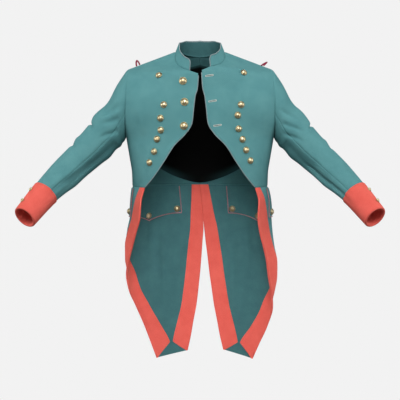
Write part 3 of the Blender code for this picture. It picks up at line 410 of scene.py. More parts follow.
def seam_dip(distance: Array) -> Array:
    """How far the cloth turns down into a seam at a distance from it."""
    return SEAM_DEPTH * np.exp(-((distance / SEAM_WIDTH) ** 2))


@dataclass
class Lattice:
    """A surface known at close, even steps both ways, and read between them."""

    us: Array
    vs: Array
    grid: Array

    @cached_property
    def normals(self) -> Array:
        """The outward direction at every known point."""
        along_v, along_u = np.gradient(self.grid, self.vs, self.us, axis=(0, 1))
        return unit(np.cross(along_u, along_v))

    @cached_property
    def along(self) -> Array:
        """The direction along the rows at every known point."""
        return unit(np.gradient(self.grid, self.us, axis=1))

    def read(self, values: Array, u: Array, v: Array) -> Array:
        """Values known at the lattice's points, read at places between them."""
        u, v = np.broadcast_arrays(np.asarray(u, float), np.asarray(v, float))
        x = np.clip((u - self.us[0]) / (self.us[1] - self.us[0]), 0, len(self.us) - 1.000001)
        y = np.clip((v - self.vs[0]) / (self.vs[1] - self.vs[0]), 0, len(self.vs) - 1.000001)
        i, j = x.astype(int), y.astype(int)
        x, y = (x - i)[..., None], (y - j)[..., None]
        low = values[j, i] * (1 - x) + values[j, i + 1] * x
        high = values[j + 1, i] * (1 - x) + values[j + 1, i + 1] * x
        return low * (1 - y) + high * y

    def point(self, u: Array, v: Array) -> Array:
        """Points of the surface."""
        return self.read(self.grid, u, v)

    def normal(self, u: Array, v: Array) -> Array:
        """Outward directions of the surface."""
        return unit(self.read(self.normals, u, v))


@dataclass(frozen=True)
class Crease:
    """A soft ridge, or a trough if its height is negative, between two points of the coat."""

    start: Point
    end: Point
    width: float
    height: float

    def lift(self, points: Array) -> Array:
        """How far it lifts the cloth at each point."""
        return fold_lift(points, np.array(self.start), np.array(self.end), self.width, self.height)


@dataclass(frozen=True)
class Drape:
    """The folds of the body and tails, and how they move what lies there."""

    creases: tuple[Crease, ...]
    half_width: float = 0.235
    half_depth: float = 0.130
    middle_y: float = -0.008
    armhole_calm: float = 0.035

    def outward(self, points: Array) -> Array:
        """Level directions out of the coat's rounded oblong section."""
        x = points[..., 0] / self.half_width
        y = (points[..., 1] - self.middle_y) / self.half_depth
        way = np.stack((np.sign(x) * np.abs(x) ** 3 / self.half_width,
                        np.sign(y) * np.abs(y) ** 3 / self.half_depth, np.zeros_like(x)), axis=-1)
        return unit(way)

    def moved(self, points: Array) -> Array:
        """The points with the folds' lift. Near the armholes the folds die out."""
        lift = sum(crease.lift(points) for crease in self.creases)
        turns = np.radians(np.arange(0, 360, 10))
        ring = ring_points(np.zeros_like(turns), turns, 0.0)
        near = np.full(points.shape[:-1], 1.0)
        for side in Side:
            for spot in ring * side.flip:
                near = np.minimum(near, np.linalg.norm(points - spot, axis=-1))
        calm = ramp(near / self.armhole_calm)
        return points + self.outward(points) * (lift * calm)[..., None]


def ring_points(v: Array, angle: Array, grow: Array) -> Array:
    """Points of the sleeve's rings.

    Args:
        v: places along the rings.
        angle: angles from the top towards the front, in radians.
        grow: how far the points stand out of the ring.

    Returns:
        The points, for the left sleeve.
    """
    size = {column: SLEEVE_TABLE.read(column, v) for column in SLEEVE_COLUMNS}
    tilt, turn = np.radians(size["tilt"]), np.radians(size["turn"])
    up = np.stack((np.sin(tilt), np.zeros_like(tilt), np.cos(tilt)), axis=-1)
    across = np.stack((-np.sin(turn) * np.cos(tilt), -np.cos(turn), np.sin(turn) * np.sin(tilt)), axis=-1)
    middle = np.stack((size["x"], size["y"], size["z"]), axis=-1)
    tall = (size["half"] + grow) * np.cos(angle)
    deep = (size["deep"] + grow) * np.sin(angle)
    return middle + up * tall[..., None] + across * deep[..., None]


def outer_edge(place: Array) -> Array:
    """The body's outer edge: the side seam below the armpit, the armhole above it."""
    armhole = ring_points(np.zeros_like(place), np.radians(-180 * np.clip(place, -1, 1)), 0.0)
    low = np.abs(place)
    seam = np.stack((SIDE_SEAM_TABLE.read("x", low), np.full_like(low, SIDE_SEAM_Y),
                     SIDE_SEAM_TABLE.read("z", low)), axis=-1)
    return np.where((low <= 1)[..., None], armhole, seam)


def body_surface(side: Side) -> Lattice:
    """The body's outer face, u from the inner to the outer edge and v along the body rows."""
    us, vs = np.linspace(0, 1, BODY_STEPS[0]), np.linspace(0, WAIST_ROW, BODY_STEPS[1])
    row = {column: BODY_TABLE.read(column, vs) for column in BODY_COLUMNS}
    start = np.stack((row["x"], row["y"], row["z"] + side.value * row["drop"]), axis=-1)
    end = outer_edge(row["place"])
    fall = (end - start) * (0, 0, 1 / 3)
    lead = start + heading(row["turn"]) * row["reach"][:, None] + fall
    trail = end - heading(row["turn_out"]) * row["reach_out"][:, None] - fall
    grid = bezier(start[:, None], lead[:, None], trail[:, None], end[:, None], us[None])
    weights = np.exp(-(((vs[:, None] - vs[None]) / ARMPIT_EASE) ** 2))
    eased = np.einsum("ij,jkl->ikl", weights / weights.sum(axis=1, keepdims=True), grid)
    inland = (ramp((1 - us) / ARMPIT_EDGE) * ramp(us / ARMPIT_EDGE))[None, :, None]
    for armpit in ARMPIT_ROWS:
        near = ramp(ARMPIT_REACH - np.abs(vs - armpit) / ARMPIT_FADE)[:, None, None]
        grid = grid + (eased - grid) * near * inland
    surface = Lattice(us, vs, grid)
    surface.normals[vs >= BACK_NECK_ROW, 0, 0] = 0.0
    surface.normals[:] = unit(surface.normals)
    return surface


def sleeve_surface() -> Lattice:
    """The sleeve's outer face, u the angle from the top towards the front and v along the rings."""
    angles = np.linspace(*SLEEVE_ANGLES, SLEEVE_STEPS[0])
    vs = np.linspace(0, len(SLEEVE_ROWS) - 1, SLEEVE_STEPS[1])
    lift = np.zeros((len(vs), len(angles)))
    for fold in (dict(zip(SLEEVE_FOLD_COLUMNS, row)) for row in SLEEVE_FOLDS):
        away = (vs - fold["row"])[:, None]
        turned = (angles[None] - fold["angle"] - fold["slant"] * away + 180) % 360 - 180
        lift += fold["height"] * np.exp(-((away / fold["along"]) ** 2) - (turned / fold["round"]) ** 2)
    v, angle = np.meshgrid(vs, np.radians(angles), indexing="ij")
    return Lattice(angles, vs, ring_points(v, angle, lift))


@dataclass
class TailSurface:
    """A tail's outer face, read by the distance from its vent edge and the place down its rows."""

    side: Side
    samples: int = 201
    rows: int = 221

    def __post_init__(self) -> None:
        us, vs = np.linspace(0, 1, 241), np.linspace(0, len(TAIL_LEFT) - 1, self.rows)
        table = TAIL_TABLES[self.side]
        row = {column: table.read(column, vs) for column in TAIL_COLUMNS}
        flat = np.zeros_like(vs)
        vent, widest, front = (
            np.stack((row[f"{place}_x"], row[f"{place}_y"], flat), axis=-1)[:, None]
            for place in ("vent", "side", "front")
        )
        across = heading(flat)[:, None] * ((widest - vent)[..., :1] * REAR_REACH)
        depth = np.maximum((vent - widest)[..., 1:2], REAR_LEAST) * REAR_REACH
        out, back = heading(row["side_turn"])[:, None], heading(row["front_turn"])[:, None]
        reach = np.linalg.norm(front - widest, axis=-1, keepdims=True) * FRONT_REACH
        rear_t = (us / TAIL_SIDE_SHARE).clip(0, 1)
        rear = bezier(vent, vent + across, widest - out * depth, widest, rear_t[None])
        fore_t = ((us - TAIL_SIDE_SHARE) / (1 - TAIL_SIDE_SHARE)).clip(0, 1)
        fore = bezier(widest, widest + out * reach, front - back * reach, front, fore_t[None])
        grid = np.where((us <= TAIL_SIDE_SHARE)[None, :, None], rear, fore)
        share = ((grid - vent)[..., 0] / (front - vent)[..., 0]).clip(0, 1)
        grid[..., 2] = row["vent_z"][:, None] + (row["front_z"] - row["vent_z"])[:, None] * share
        even, lengths = np.linspace(0, 1, self.samples), []
        for j, line in enumerate(grid):
            along = arcs(line)
            lengths.append(along[-1])
            grid[j, : self.samples] = between(even * along[-1], along, line)
        self.surface = Lattice(even, vs, grid[:, : self.samples].copy())
        self.lengths = np.array(lengths)
        self.heights = row["vent_z"]

    def length(self, v: Array) -> Array:
        """The width of the tail's rows, from vent edge to front edge."""
        return np.interp(v, self.surface.vs, self.lengths)

    def row_below_waist(self, drop: Array) -> Array:
        """The row whose vent edge lies that far below the waist seam."""
        return np.interp(drop, self.heights[0] - self.heights, self.surface.vs)

    def spots(self, distance: Array, v: Array, lift: Array) -> Array:
        """Points of the tail.

        Args:
            distance: distances from the vent edge. Past an edge the tail's line runs straight on.
            v: places down the rows.
            lift: how far the points stand out of the outer face.

        Returns:
            The points, for the tail's own side before it is mirrored.
        """
        distance, v, lift = np.broadcast_arrays(distance, v, lift)
        length = self.length(v)
        inside = np.clip(distance, 0, length)
        share = inside / length
        beyond = (distance - inside)[..., None]
        along = self.surface.read(self.surface.along, share, v)
        return self.surface.point(share, v) + self.surface.normal(share, v) * lift[..., None] + along * beyond


def collar_lines() -> Array:
    """The collar's seam line and its top line, from the left front end round to the right one."""
    halves = []
    for side in Side:
        vs = np.linspace(COLLAR_ROW, BACK_NECK_ROW, 121)
        row = {column: COLLAR_TABLE.read(column, vs) for column in COLLAR_COLUMNS[1:]}
        base = BODY_SURFACES[side].point(0.0, vs) + (0, 0, GAP)
        stand = np.stack((-row["in_x"], row["in_y"], row["rise"]), axis=-1)
        top = base + stand
        short = np.maximum(COLLAR_ROUND - np.linalg.norm(top - top[0], axis=-1), 0)
        cut = (COLLAR_ROUND - np.sqrt(COLLAR_ROUND**2 - short**2)) / row["rise"]
        top = base + stand * (1 - cut)[:, None]
        line = np.stack((base, top)) * side.flip
        halves.append(line if side is Side.LEFT else line[:, -2::-1])
    return np.concatenate(halves, axis=1)


BODY_SURFACES = {side: body_surface(side) for side in Side}
SLEEVE_SURFACE = sleeve_surface()


def linear(code: str) -> tuple[float, float, float, float]:
    """The linear colour, with full opacity, of an sRGB hex code."""
    parts = [int(code[i : i + 2], 16) / 255 for i in (1, 3, 5)]
    return (*(p / 12.92 if p <= 0.04045 else ((p + 0.055) / 1.055) ** 2.4 for p in parts), 1.0)


def plug(tree: Tree, node: bpy.types.Node, sockets: dict) -> None:
    """Gives a node's inputs their values, and links the outputs of other nodes to them."""
    for key, value in sockets.items():
        if isinstance(value, Socket):
            tree.links.new(value, node.inputs[key])
        else:
            node.inputs[key].default_value = value


def add_node(tree: Tree, kind: str, sockets: dict | None = None, **settings) -> bpy.types.Node:
    """Adds a node to a material.

    Args:
        tree: the material's nodes.
        kind: the node's type.
        sockets: a value, or another node's output, for each named or numbered input.
        settings: the node's own settings.

    Returns:
        The node.
    """
    node = tree.nodes.new(kind)
    for key, value in settings.items():
        setattr(node, key, value)
    plug(tree, node, sockets or {})
    return node


def colour_steps(tree: Tree, factor: Socket, *steps: tuple[float, str]) -> Socket:
    """A colour that goes through the given hex codes, each at its place, as a factor rises from 0 to 1."""
    node = add_node(tree, "ShaderNodeValToRGB", {"Fac": factor})
    ramp_steps = node.color_ramp.elements
    while len(ramp_steps) < len(steps):
        ramp_steps.new(0.5)
    for step, (place, code) in zip(ramp_steps, steps):
        step.position, step.color = place, linear(code)
    return node.outputs["Color"]


def noise(tree: Tree, scale: float, detail: float, roughness: float = 0.5) -> Socket:
    """Noise in the coat's own frame."""
    place = add_node(tree, "ShaderNodeTexCoord").outputs["Object"]
    sockets = {"Vector": place, "Scale": scale, "Detail": detail, "Roughness": roughness}
    return add_node(tree, "ShaderNodeTexNoise", sockets).outputs["Fac"]


def threads(tree: Tree, pitch_mm: float, distortion: float, detail_scale: float = 1.0) -> Socket:
    """Slanting threads on the flat cloth, a pitch apart."""
    cut = add_node(tree, "ShaderNodeUVMap", uv_map="weave").outputs["UV"]
    sockets = {"Vector": cut, "Scale": 1000 / pitch_mm / BANDS_PER_UNIT, "Distortion": distortion,
               "Detail Scale": detail_scale}
    wave = add_node(tree, "ShaderNodeTexWave", sockets, wave_type="BANDS", bands_direction="DIAGONAL")
    return wave.outputs["Fac"]


def own_depth(tree: Tree) -> Socket:
    """The piece's own depth attribute: patina in a button's groove, painted shade at its foot, and where a
    lining's painted shadow fades to green.
    """
    return add_node(tree, "ShaderNodeAttribute", attribute_name="depth").outputs["Fac"]


def mix(tree: Tree, factor: float, one: Socket, other: Socket) -> Socket:
    """A number between two others."""
    return add_node(tree, "ShaderNodeMix", {"Factor": factor, 2: one, 3: other}, data_type="FLOAT").outputs[0]


def mix_colours(tree: Tree, factor: Socket, one: Socket, other: tuple) -> Socket:
    """A colour between two others."""
    return add_node(tree, "ShaderNodeMix", {"Factor": factor, 6: one, 7: other}, data_type="RGBA").outputs[2]


def bump(tree: Tree, strength: float, distance: float, height: Socket, under: Socket | None = None) -> Socket:
    """The direction of a face that a height raises, over another such height where one is given."""
    sockets = {"Strength": strength, "Distance": distance, "Height": height}
    if under:
        sockets["Normal"] = under
    return add_node(tree, "ShaderNodeBump", sockets).outputs["Normal"]


@dataclass(frozen=True)
class Finish:
    """What a piece is made of, and how it looks."""

    name: str

    @cached_property
    def material(self) -> bpy.types.Material:
        """The finish's material, made on its first use."""
        made = bpy.data.materials.new(self.name)
        made.use_nodes = True
        tree = made.node_tree
        plug(tree, tree.nodes["Principled BSDF"], self.draw(tree))
        return made

    def draw(self, tree: Tree) -> dict:
        """Adds the pattern's nodes, and gives the shader's own values."""
        raise NotImplementedError


@dataclass(frozen=True)
class Broadcloth(Finish):
    """Milled wool broadcloth: dull, soft, with a short raised nap that hides most of the twill."""

    shade: str = "#50868a"
    middle: str = "#5a9194"
    light: str = "#659b9d"
    nap: str = "#689fa1"
    sheen: float = 0.06
    # A real twill line is 0.5 mm and a nap fibre thinner still. Both are drawn several times coarser.
    twill_mm: float = 2.4
    nap_mm: float = 1.6
    mottle_mm: float = 45.0

    def draw(self, tree: Tree) -> dict:
        """Mottled dye, twill lines along the cloth's own cut, and the felted nap."""
        mottle = noise(tree, 1000 / self.mottle_mm, 4.0, 0.62)
        nap = noise(tree, 1000 / self.nap_mm, 3.0, 0.7)
        fibres = mix(tree, 0.30, nap, threads(tree, self.twill_mm, 1.2, 2.0))
        tone = mix(tree, 0.60, mottle, fibres)
        soft = bump(tree, 0.30, 0.0016, mottle)
        dye = colour_steps(tree, tone, (0.33, self.shade), (0.5, self.middle), (0.67, self.light))
        return {
            "Base Color": dye,
            "Normal": bump(tree, 0.38, 0.00045, fibres, soft),
            "Roughness": 0.88, "Specular IOR Level": 0.08,
            "Sheen Weight": self.sheen, "Sheen Roughness": 0.55, "Sheen Tint": linear(self.nap),
        }


@dataclass(frozen=True)
class CordedPiping(Finish):
    """Wool cloth cut on the bias and folded over a cord: dull, with slanting threads."""

    shade: str = "#8f6068"
    light: str = "#b98a90"
    thread_mm: float = 2.2

    def draw(self, tree: Tree) -> dict:
        """Slanting threads round the cord, and uneven dye."""
        thread = threads(tree, self.thread_mm, 0.8)
        tone = mix(tree, 0.5, thread, noise(tree, 160.0, 3.0))
        return {
            "Base Color": colour_steps(tree, tone, (0.25, self.shade), (0.75, self.light)),
            "Normal": bump(tree, 0.5, 0.0003, thread),
            "Roughness": 0.82, "Specular IOR Level": 0.25, "Sheen Weight": 0.2,
        }


@dataclass(frozen=True)
class BlackTwill(Finish):
    """Black twill lining as painted shade: its black stands in for the shadow inside the coat, and fades to the
    wool's green at its hem.
    """

    dark: str = "#050505"
    rib: str = "#0b0c0c"
    # Dark green where the painted shadow fades out, at the lining's hem and top.
    worn: str = "#2a494b"
    rib_mm: float = 2.0

    def draw(self, tree: Tree) -> dict:
        """Fine slanting ribs, and the painted shadow fading to green where the piece's own depth says."""
        ribs = threads(tree, self.rib_mm, 0.4)
        black = colour_steps(tree, ribs, (0.2, self.dark), (0.9, self.rib))
        return {
            "Base Color": mix_colours(tree, own_depth(tree), black, linear(self.worn)),
            "Normal": bump(tree, 0.3, 0.0002, ribs),
            "Roughness": 0.9, "Specular IOR Level": 0.05,
        }


@dataclass(frozen=True)
class Braid(Finish):
    """Flat plaited worsted braid: crimson, with a slightly silky herringbone."""

    shade: str = "#7a1030"
    light: str = "#c42a52"
    plait_mm: float = 2.5
    plait_turn: float = 35.0

    def draw(self, tree: Tree) -> dict:
        """Plaited threads across the braid."""
        cut = add_node(tree, "ShaderNodeUVMap", uv_map="weave").outputs["UV"]
        waves = []
        for turn in (self.plait_turn, -self.plait_turn):
            turned = add_node(tree, "ShaderNodeMapping", {"Vector": cut, "Rotation": (0, 0, math.radians(turn))})
            sockets = {"Vector": turned.outputs["Vector"], "Distortion": 0.5,
                       "Scale": 1000 / self.plait_mm / BANDS_PER_UNIT}
            waves.append(add_node(tree, "ShaderNodeTexWave", sockets, wave_type="BANDS").outputs["Fac"])
        plait = add_node(tree, "ShaderNodeMath", dict(enumerate(waves)), operation="MULTIPLY").outputs[0]
        return {
            "Base Color": colour_steps(tree, plait, (0.0, self.shade), (0.7, self.light)),
            "Normal": bump(tree, 0.6, 0.0005, plait),
            "Roughness": 0.62, "Sheen Weight": 0.2,
        }


@dataclass(frozen=True)
class StampedBrass(Finish):
    """Stamped and lightly lacquered brass, hand polished: pale gold domes, dull and brown in the recesses, with
    painted shade at the foot.
    """

    recess: str = "#5f4a2a"
    dull: str = "#c2ab78"
    bright: str = "#efe0b8"
    tarnish_mm: float = 5.0

    def draw(self, tree: Tree) -> dict:
        """Patches of tarnish, and patina in the groove and painted shade at the foot, where the button's depth
        says.
        """
        tarnish = noise(tree, 1000 / self.tarnish_mm, 5.0, 0.6)
        polish = colour_steps(tree, tarnish, (0.3, self.dull), (0.62, self.bright))
        gloss = add_node(tree, "ShaderNodeMapRange", {
            "Value": tarnish, "From Min": 0.3, "From Max": 0.7, "To Min": 0.52, "To Max": 0.36})
        return {
            "Base Color": mix_colours(tree, own_depth(tree), polish, linear(self.recess)),
            "Normal": bump(tree, 0.15, 0.0003, tarnish),
            "Roughness": gloss.outputs["Result"], "Metallic": 1.0,
        }


@dataclass(frozen=True)
class Thread(Finish):
    """Waxed linen or silk sewing thread, twisted: a dull satin."""

    shade: str = "#b4bab3"
    light: str = "#e2e7df"

    def draw(self, tree: Tree) -> dict:
        """Lighter and darker turns of the thread."""
        dye = colour_steps(tree, noise(tree, 900.0, 1.0), (0.35, self.shade), (0.65, self.light))
        return {"Base Color": dye, "Roughness": 0.6}


@dataclass(frozen=True)
class PaintedWall(Finish):
    """The studio's evenly lit pale wall and floor."""

    paint: str = "#f2f2f2"

    def draw(self, tree: Tree) -> dict:
        """A wall that shows the same pale grey everywhere."""
        return {"Base Color": (0, 0, 0, 1), "Specular IOR Level": 0.0,
                "Emission Color": linear(self.paint), "Emission Strength": 1.0}


GREEN = Broadcloth("green milled broadcloth")
# A darker copy of the green for the inner faces: painted shade for the light the insides get less of.
GREEN_SHADED_INSIDE = Broadcloth("unfinished side of green broadcloth", shade="#3a6366", middle="#426e71",
                          light="#4a787a", sheen=0.0)
SCARLET = Broadcloth("scarlet milled broadcloth", shade="#dd584e", middle="#e76358", light="#ef6e62",
                     nap="#ffd2b4", sheen=0.16)
ROSE = CordedPiping("rose wool piping")
PALE_ROSE = CordedPiping("pale wool edging", shade="#74898d", light="#93a6a9")
# Black lining that paints the shadow inside the back.
SHADOW_LINING_BLACK = BlackTwill("black cotton twill")
CRIMSON = Braid("crimson worsted braid")
BRASS = StampedBrass("polished stamped brass")
PALE_THREAD = Thread("pale buttonhole twist")
# Black cord that paints the shade in the buttonholes' slits.
SLIT_SHADOW_CORD = Thread("black cotton thread", shade="#060606", light="#121212")
GREEN_THREAD = Thread("green silk thread", shade="#164648", light="#1f5759")
SCARLET_THREAD = Thread("scarlet silk thread", shade="#7f1a14", light="#9b241c")


@dataclass
class Panel:
    """A piece of cloth's outer face in rows and columns, and the ways out of it."""

    points: Array
    ways: Array

    @classmethod
    def from_points(cls, points: Array) -> Panel:
        """A panel whose outward directions come from its own points."""
        along_v, along_u = np.gradient(points, axis=(0, 1))
        return cls(points, unit(np.cross(along_u, along_v)))

    def lifted(self, lift: Array) -> Panel:
        """The panel moved out of its face."""
        lift = np.broadcast_to(lift, self.points.shape[:2])
        return Panel(self.points + self.ways * lift[..., None], self.ways)

    def on(self, side: Side) -> Panel:
        """The left side's panel on that side."""
        return Panel(self.points * side.flip, self.ways * side.flip)

    def turned_into(self, seams: Sequence[tuple[str, Array | float]]) -> Panel:
        """The panel with its edges turned down into their seams.

        Args:
            seams: edges ("first_row", "last_row", "first_column", "last_column"), and how deep a seam each
                is, where 1 is a plain one and 0 none.

        Returns:
            The panel with those dips, and with those edges reaching on into their seams.
        """
        down, over = run(self.points, 0), run(self.points, 1)
        away = {"first_row": down, "last_row": down[-1:] - down,
                "first_column": over, "last_column": over[:, -1:] - over}
        dip = sum(seam_dip(away[edge]) * np.asarray(share) for edge, share in seams)
        points = self.points.copy()
        for edge, share in seams:
            end, near = (-1, -2) if edge.startswith("last") else (0, 1)
            across = points if edge.endswith("row") else points.swapaxes(0, 1)
            lap = ARMHOLE_LAP if np.max(share) == ARMHOLE_SEAM else SEAM_LAP
            across[end] += unit(across[end] - across[near]) * lap
        return Panel(points, self.ways).lifted(-dip)

    @property
    def flat(self) -> Array:
        """Each point's place on the flat cloth: across from the middle column, and down the rows."""
        over = run(self.points, 1)
        middle = self.points.shape[1] // 2
        down = arcs(self.points[:, middle])[:, None]
        return np.stack(np.broadcast_arrays(over - over[:, middle : middle + 1], -down), axis=-1)

    @property
    def area(self) -> float:
        """The area of the face, in square metres."""
        p = self.points
        first = np.cross(p[1:, 1:] - p[:-1, :-1], p[1:, :-1] - p[:-1, 1:])
        return float(np.linalg.norm(first, axis=-1).sum() / 2)


def link(bm: bmesh.types.BMesh, name: str, finish: Finish, smooth_faces: bool = True) -> bpy.types.Object:
    """Makes a finished mesh an object of the scene.

    Args:
        bm: the mesh, which is used up.
        name: the object's name.
        finish: what it is made of.
        smooth_faces: whether its faces are shaded as one smooth skin.

    Returns:
        The new object.
    """
    mesh = bpy.data.meshes.new(name)
    bm.to_mesh(mesh)
    bm.free()
    if smooth_faces:
        mesh.shade_smooth()
    mesh.materials.append(finish.material)
    thing = bpy.data.objects.new(name, mesh)
    bpy.context.collection.objects.link(thing)
    return thing


def grid_mesh(points: Array, flat: Array | None = None, reverse: bool = False) -> bmesh.types.BMesh:
    """A sheet of square cells, moved onto the points of a panel.

    Args:
        points: the panel's points, in rows and columns.
        flat: the points' places on the flat cloth, for the weave.
        reverse: whether the sheet's outer side is the other one.

    Returns:
        The mesh.
    """
    rows, columns = points.shape[:2]
    bm = bmesh.new()
    bmesh.ops.create_grid(bm, x_segments=columns - 1, y_segments=rows - 1, size=0.5)
    places = points.reshape(-1, 3)
    for vert in bm.verts:
        vert.co = places[vert.index]
    if flat is not None:
        weave = bm.loops.layers.uv.new("weave")
        spots = flat.reshape(-1, 2)
        for face in bm.faces:
            for corner in face.loops:
                corner[weave].uv = spots[corner.vert.index]
    if reverse:
        bmesh.ops.reverse_faces(bm, faces=bm.faces)
    return bm


def cut_and_sewn(
    name: str, panel: Panel, finish: Finish, thickness: float, reverse: bool = False,
    depth: Array | None = None, wrong_side: Finish | None = None,
) -> bpy.types.Object:
    """A panel as real cloth, with its thickness and softened cut edges.

    Args:
        name: the object's name.
        panel: its outer face.
        finish: what it is made of.
        thickness: the cloth's thickness, which goes inwards.
        reverse: whether the panel's rows and columns run the other way round.
        depth: a value for each point that its finish reads as "depth".
        wrong_side: the finish of its inner face, where that is another.

    Returns:
        The piece.
    """
    piece = link(grid_mesh(panel.points, panel.flat, reverse), name, finish)
    if depth is not None:
        layer = piece.data.attributes.new("depth", "FLOAT", "POINT")
        layer.data.foreach_set("value", depth.ravel().astype(np.float32))
    solid = piece.modifiers.new("thickness", "SOLIDIFY")
    solid.thickness, solid.offset = thickness, -1.0
    if wrong_side:
        piece.data.materials.append(wrong_side.material)
        solid.material_offset = 1
    edge = piece.modifiers.new("cut edge", "BEVEL")
    edge.limit_method, edge.angle_limit = "ANGLE", math.radians(EDGE_ANGLE)
    edge.width, edge.segments = min(EDGE_BEVEL, thickness * EDGE_SHARE), 2
    edge.harden_normals = True
    return piece


def tube(name: str, line: Array, radius: float, finish: Finish, sides: int = 10) -> bpy.types.Object:
    """A cord of piping along a line of points, with rounded ends.

    Args:
        name: the object's name.
        line: the points that it follows.
        radius: its radius.
        finish: what it is made of.
        sides: how many sides its section has.

    Returns:
        The piece.
    """
    ways = unit(np.gradient(line, axis=0))
    normal = unit(np.cross(ways[0], (0.3, 0.5, 0.81)))
    frames = []
    for way in ways:
        normal = unit(normal - way * (normal @ way))
        frames.append((normal, np.cross(way, normal)))
    frames = np.array(frames)
    first = [(line[0] - ways[0] * radius * (CORD_CAP - push), frames[0], share) for push, share in CORD_ENDS]
    last = [(line[-1] + ways[-1] * radius * (CORD_CAP - push), frames[-1], share)
            for push, share in reversed(CORD_ENDS)]
    rows = [*first, *((spot, pair, 1.0) for spot, pair in zip(line, frames)), *last]
    angles = np.radians(np.linspace(0, 360, sides + 1))
    rings = [
        spot + radius * share * (np.outer(np.cos(angles), pair[0]) + np.outer(np.sin(angles), pair[1]))
        for spot, pair, share in rows
    ]
    points = np.array(rings)
    along = np.broadcast_to(arcs(np.array([spot for spot, *_ in rows]))[:, None], points.shape[:2])
    round_it = np.broadcast_to(angles * radius, points.shape[:2])
    bm = grid_mesh(points, np.stack((round_it, along), axis=-1))
    bmesh.ops.remove_doubles(bm, verts=bm.verts, dist=1e-7)
    bmesh.ops.holes_fill(bm, edges=[edge for edge in bm.edges if edge.is_boundary], sides=0)
    bmesh.ops.recalc_face_normals(bm, faces=bm.faces)
    return link(bm, name, finish)


def beside(edge: Array, inner: Array, ways: Array, height: float, out: float) -> Array:
    """The line of a piping beside a panel's edge.

    Args:
        edge: the edge's points.
        inner: the points of the next row or column inwards.
        ways: the outward directions along the edge.
        height: how far the line stands out of the panel's face.
        out: how far it lies from the edge.

    Returns:
        The line's points.
    """
    tangent = np.gradient(edge, axis=0)
    aside = unit(np.cross(tangent, ways))
    if ((edge - inner) * aside).sum() < 0:
        aside = -aside
    return edge + ways * height + aside * out


class Needle:
    """Sews rows of stitches on the finished cloth, which it finds by looking at the pieces."""

    def __init__(self, cloths: Iterable[bpy.types.Object]) -> None:
        graph = bpy.context.evaluated_depsgraph_get()
        self.trees = {}
        for cloth in cloths:
            bm = bmesh.new()
            bm.from_object(cloth, graph)
            self.trees[cloth.name] = BVHTree.FromBMesh(bm)
            bm.free()

    def seat(self, cloth: str, spot: Array, out: Array) -> tuple[Vector, Vector]:
        """The nearest place on a cloth's outer face.

        Args:
            cloth: the cloth's name.
            spot: a point near the place.
            out: which way is outwards there.

        Returns:
            The place and the outward direction there.
        """
        start = Vector(spot) + Vector(out) * NEEDLE_REACH
        place, normal, _, _ = self.trees[cloth].ray_cast(start, -Vector(out), 2 * NEEDLE_REACH)
        if place is None:
            place, normal, _, _ = self.trees[cloth].find_nearest(Vector(spot))
        return place, normal

    def nearest(self, cloth: str, spot: Vector) -> tuple[Vector, Vector]:
        """The cloth's place nearest to a spot, and the outward direction there."""
        place, normal, _, _ = self.trees[cloth].find_nearest(spot)
        return place, normal

    def row(self, name: str, cloth: str, line: Array, out: Array, finish: Finish,
            pitch: float = 0.0042, length: float = 0.0017, radius: float = 0.00026) -> bpy.types.Object:
        """A row of small stitches along a line.

        Args:
            name: the row's name.
            cloth: the cloth that it is sewn in.
            line: the points that it follows.
            out: outward directions along the line.
            finish: the thread.
            pitch: distance from stitch to stitch.
            length: the length of a stitch.
            radius: half the thread's thickness.

        Returns:
            The row of stitches, one piece.
        """
        along = arcs(line)
        at = np.arange(pitch / 2, along[-1], pitch)
        spots, outs = between(at, along, line), between(at, along, out)
        bm = bmesh.new()
        for i, (spot, way) in enumerate(zip(spots, outs)):
            place, normal = self.seat(cloth, spot, way)
            ahead = spots[min(i + 1, len(spots) - 1)] - spots[max(i - 1, 0)]
            aim = Vector(ahead).normalized().to_track_quat("Z", "Y").to_matrix().to_4x4()
            lie = Matrix.Translation(place + normal * radius * STITCH_OUT)
            bmesh.ops.create_cone(bm, cap_ends=True, segments=5, radius1=radius, radius2=radius,
                                  depth=length, matrix=lie @ aim)
        return link(bm, name, finish)


@dataclass(frozen=True)
class ArmFold:
    """A soft ridge of a sleeve, or a trough if its height is negative.

    It runs between two places, each a row down the sleeve and an angle round it, from the top towards the
    front.
    """

    start: tuple[float, float]
    end: tuple[float, float]
    width: float
    height: float

    def lift(self, v: Array, angle: Array) -> Array:
        """How far it lifts the cloth at rows and angles."""
        middle_v, middle_angle = (self.start[0] + self.end[0]) / 2, (self.start[1] + self.end[1]) / 2
        girth = float(arm_girth(middle_v))
        start, end = (
            np.array((float(arm_length(row)), math.radians(turn - middle_angle) * girth))
            for row, turn in (self.start, self.end)
        )
        turned = (angle - middle_angle + 180) % 360 - 180
        places = np.stack((arm_length(v), np.radians(turned) * girth), axis=-1)
        return fold_lift(places, start, end, self.width, self.height)


def arm_length(v: Array) -> Array:
    """Distances down the sleeve to places along its rings."""
    rows = np.array([ring[:3] for ring in SLEEVE_ROWS])
    return np.interp(v, np.arange(len(rows)), arcs(rows))


def arm_girth(v: Array) -> Array:
    """The sleeve's mean radius at places along its rings."""
    rows = np.array([(ring[5] + ring[6]) / 2 for ring in SLEEVE_ROWS])
    return np.interp(v, np.arange(len(rows)), rows)


def carry(piece: bpy.types.Object, slot: str, *nodes: str) -> bpy.types.Object:
    """Lets a finished piece ride with the coat, in place of the nodes it stands for."""
    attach(piece, "root")
    if nodes:
        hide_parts(*nodes)
    LOG.info("made %s", piece.name)
    return piece


def sew_sheet(
    node: str, panel: Panel, finish: Finish, thickness: float, slot: str,
    side: Side = Side.LEFT, wrong_side: Finish | None = None,
) -> bpy.types.Object:
    """Sews a panel, lets it stand for its node and states its cut.

    Args:
        node: the solid that it stands for.
        panel: its outer face.
        finish: what it is made of.
        thickness: the cloth's thickness.
        slot: its material slot; not used.
        side: its side, where it is mirrored for the right.
        wrong_side: the finish of its inner face, where that is another.

    Returns:
        The piece.
    """
    piece = cut_and_sewn(f"{node}_cloth", panel, finish, thickness, side is Side.RIGHT, wrong_side=wrong_side)
    carry(piece, slot, node)
    return piece


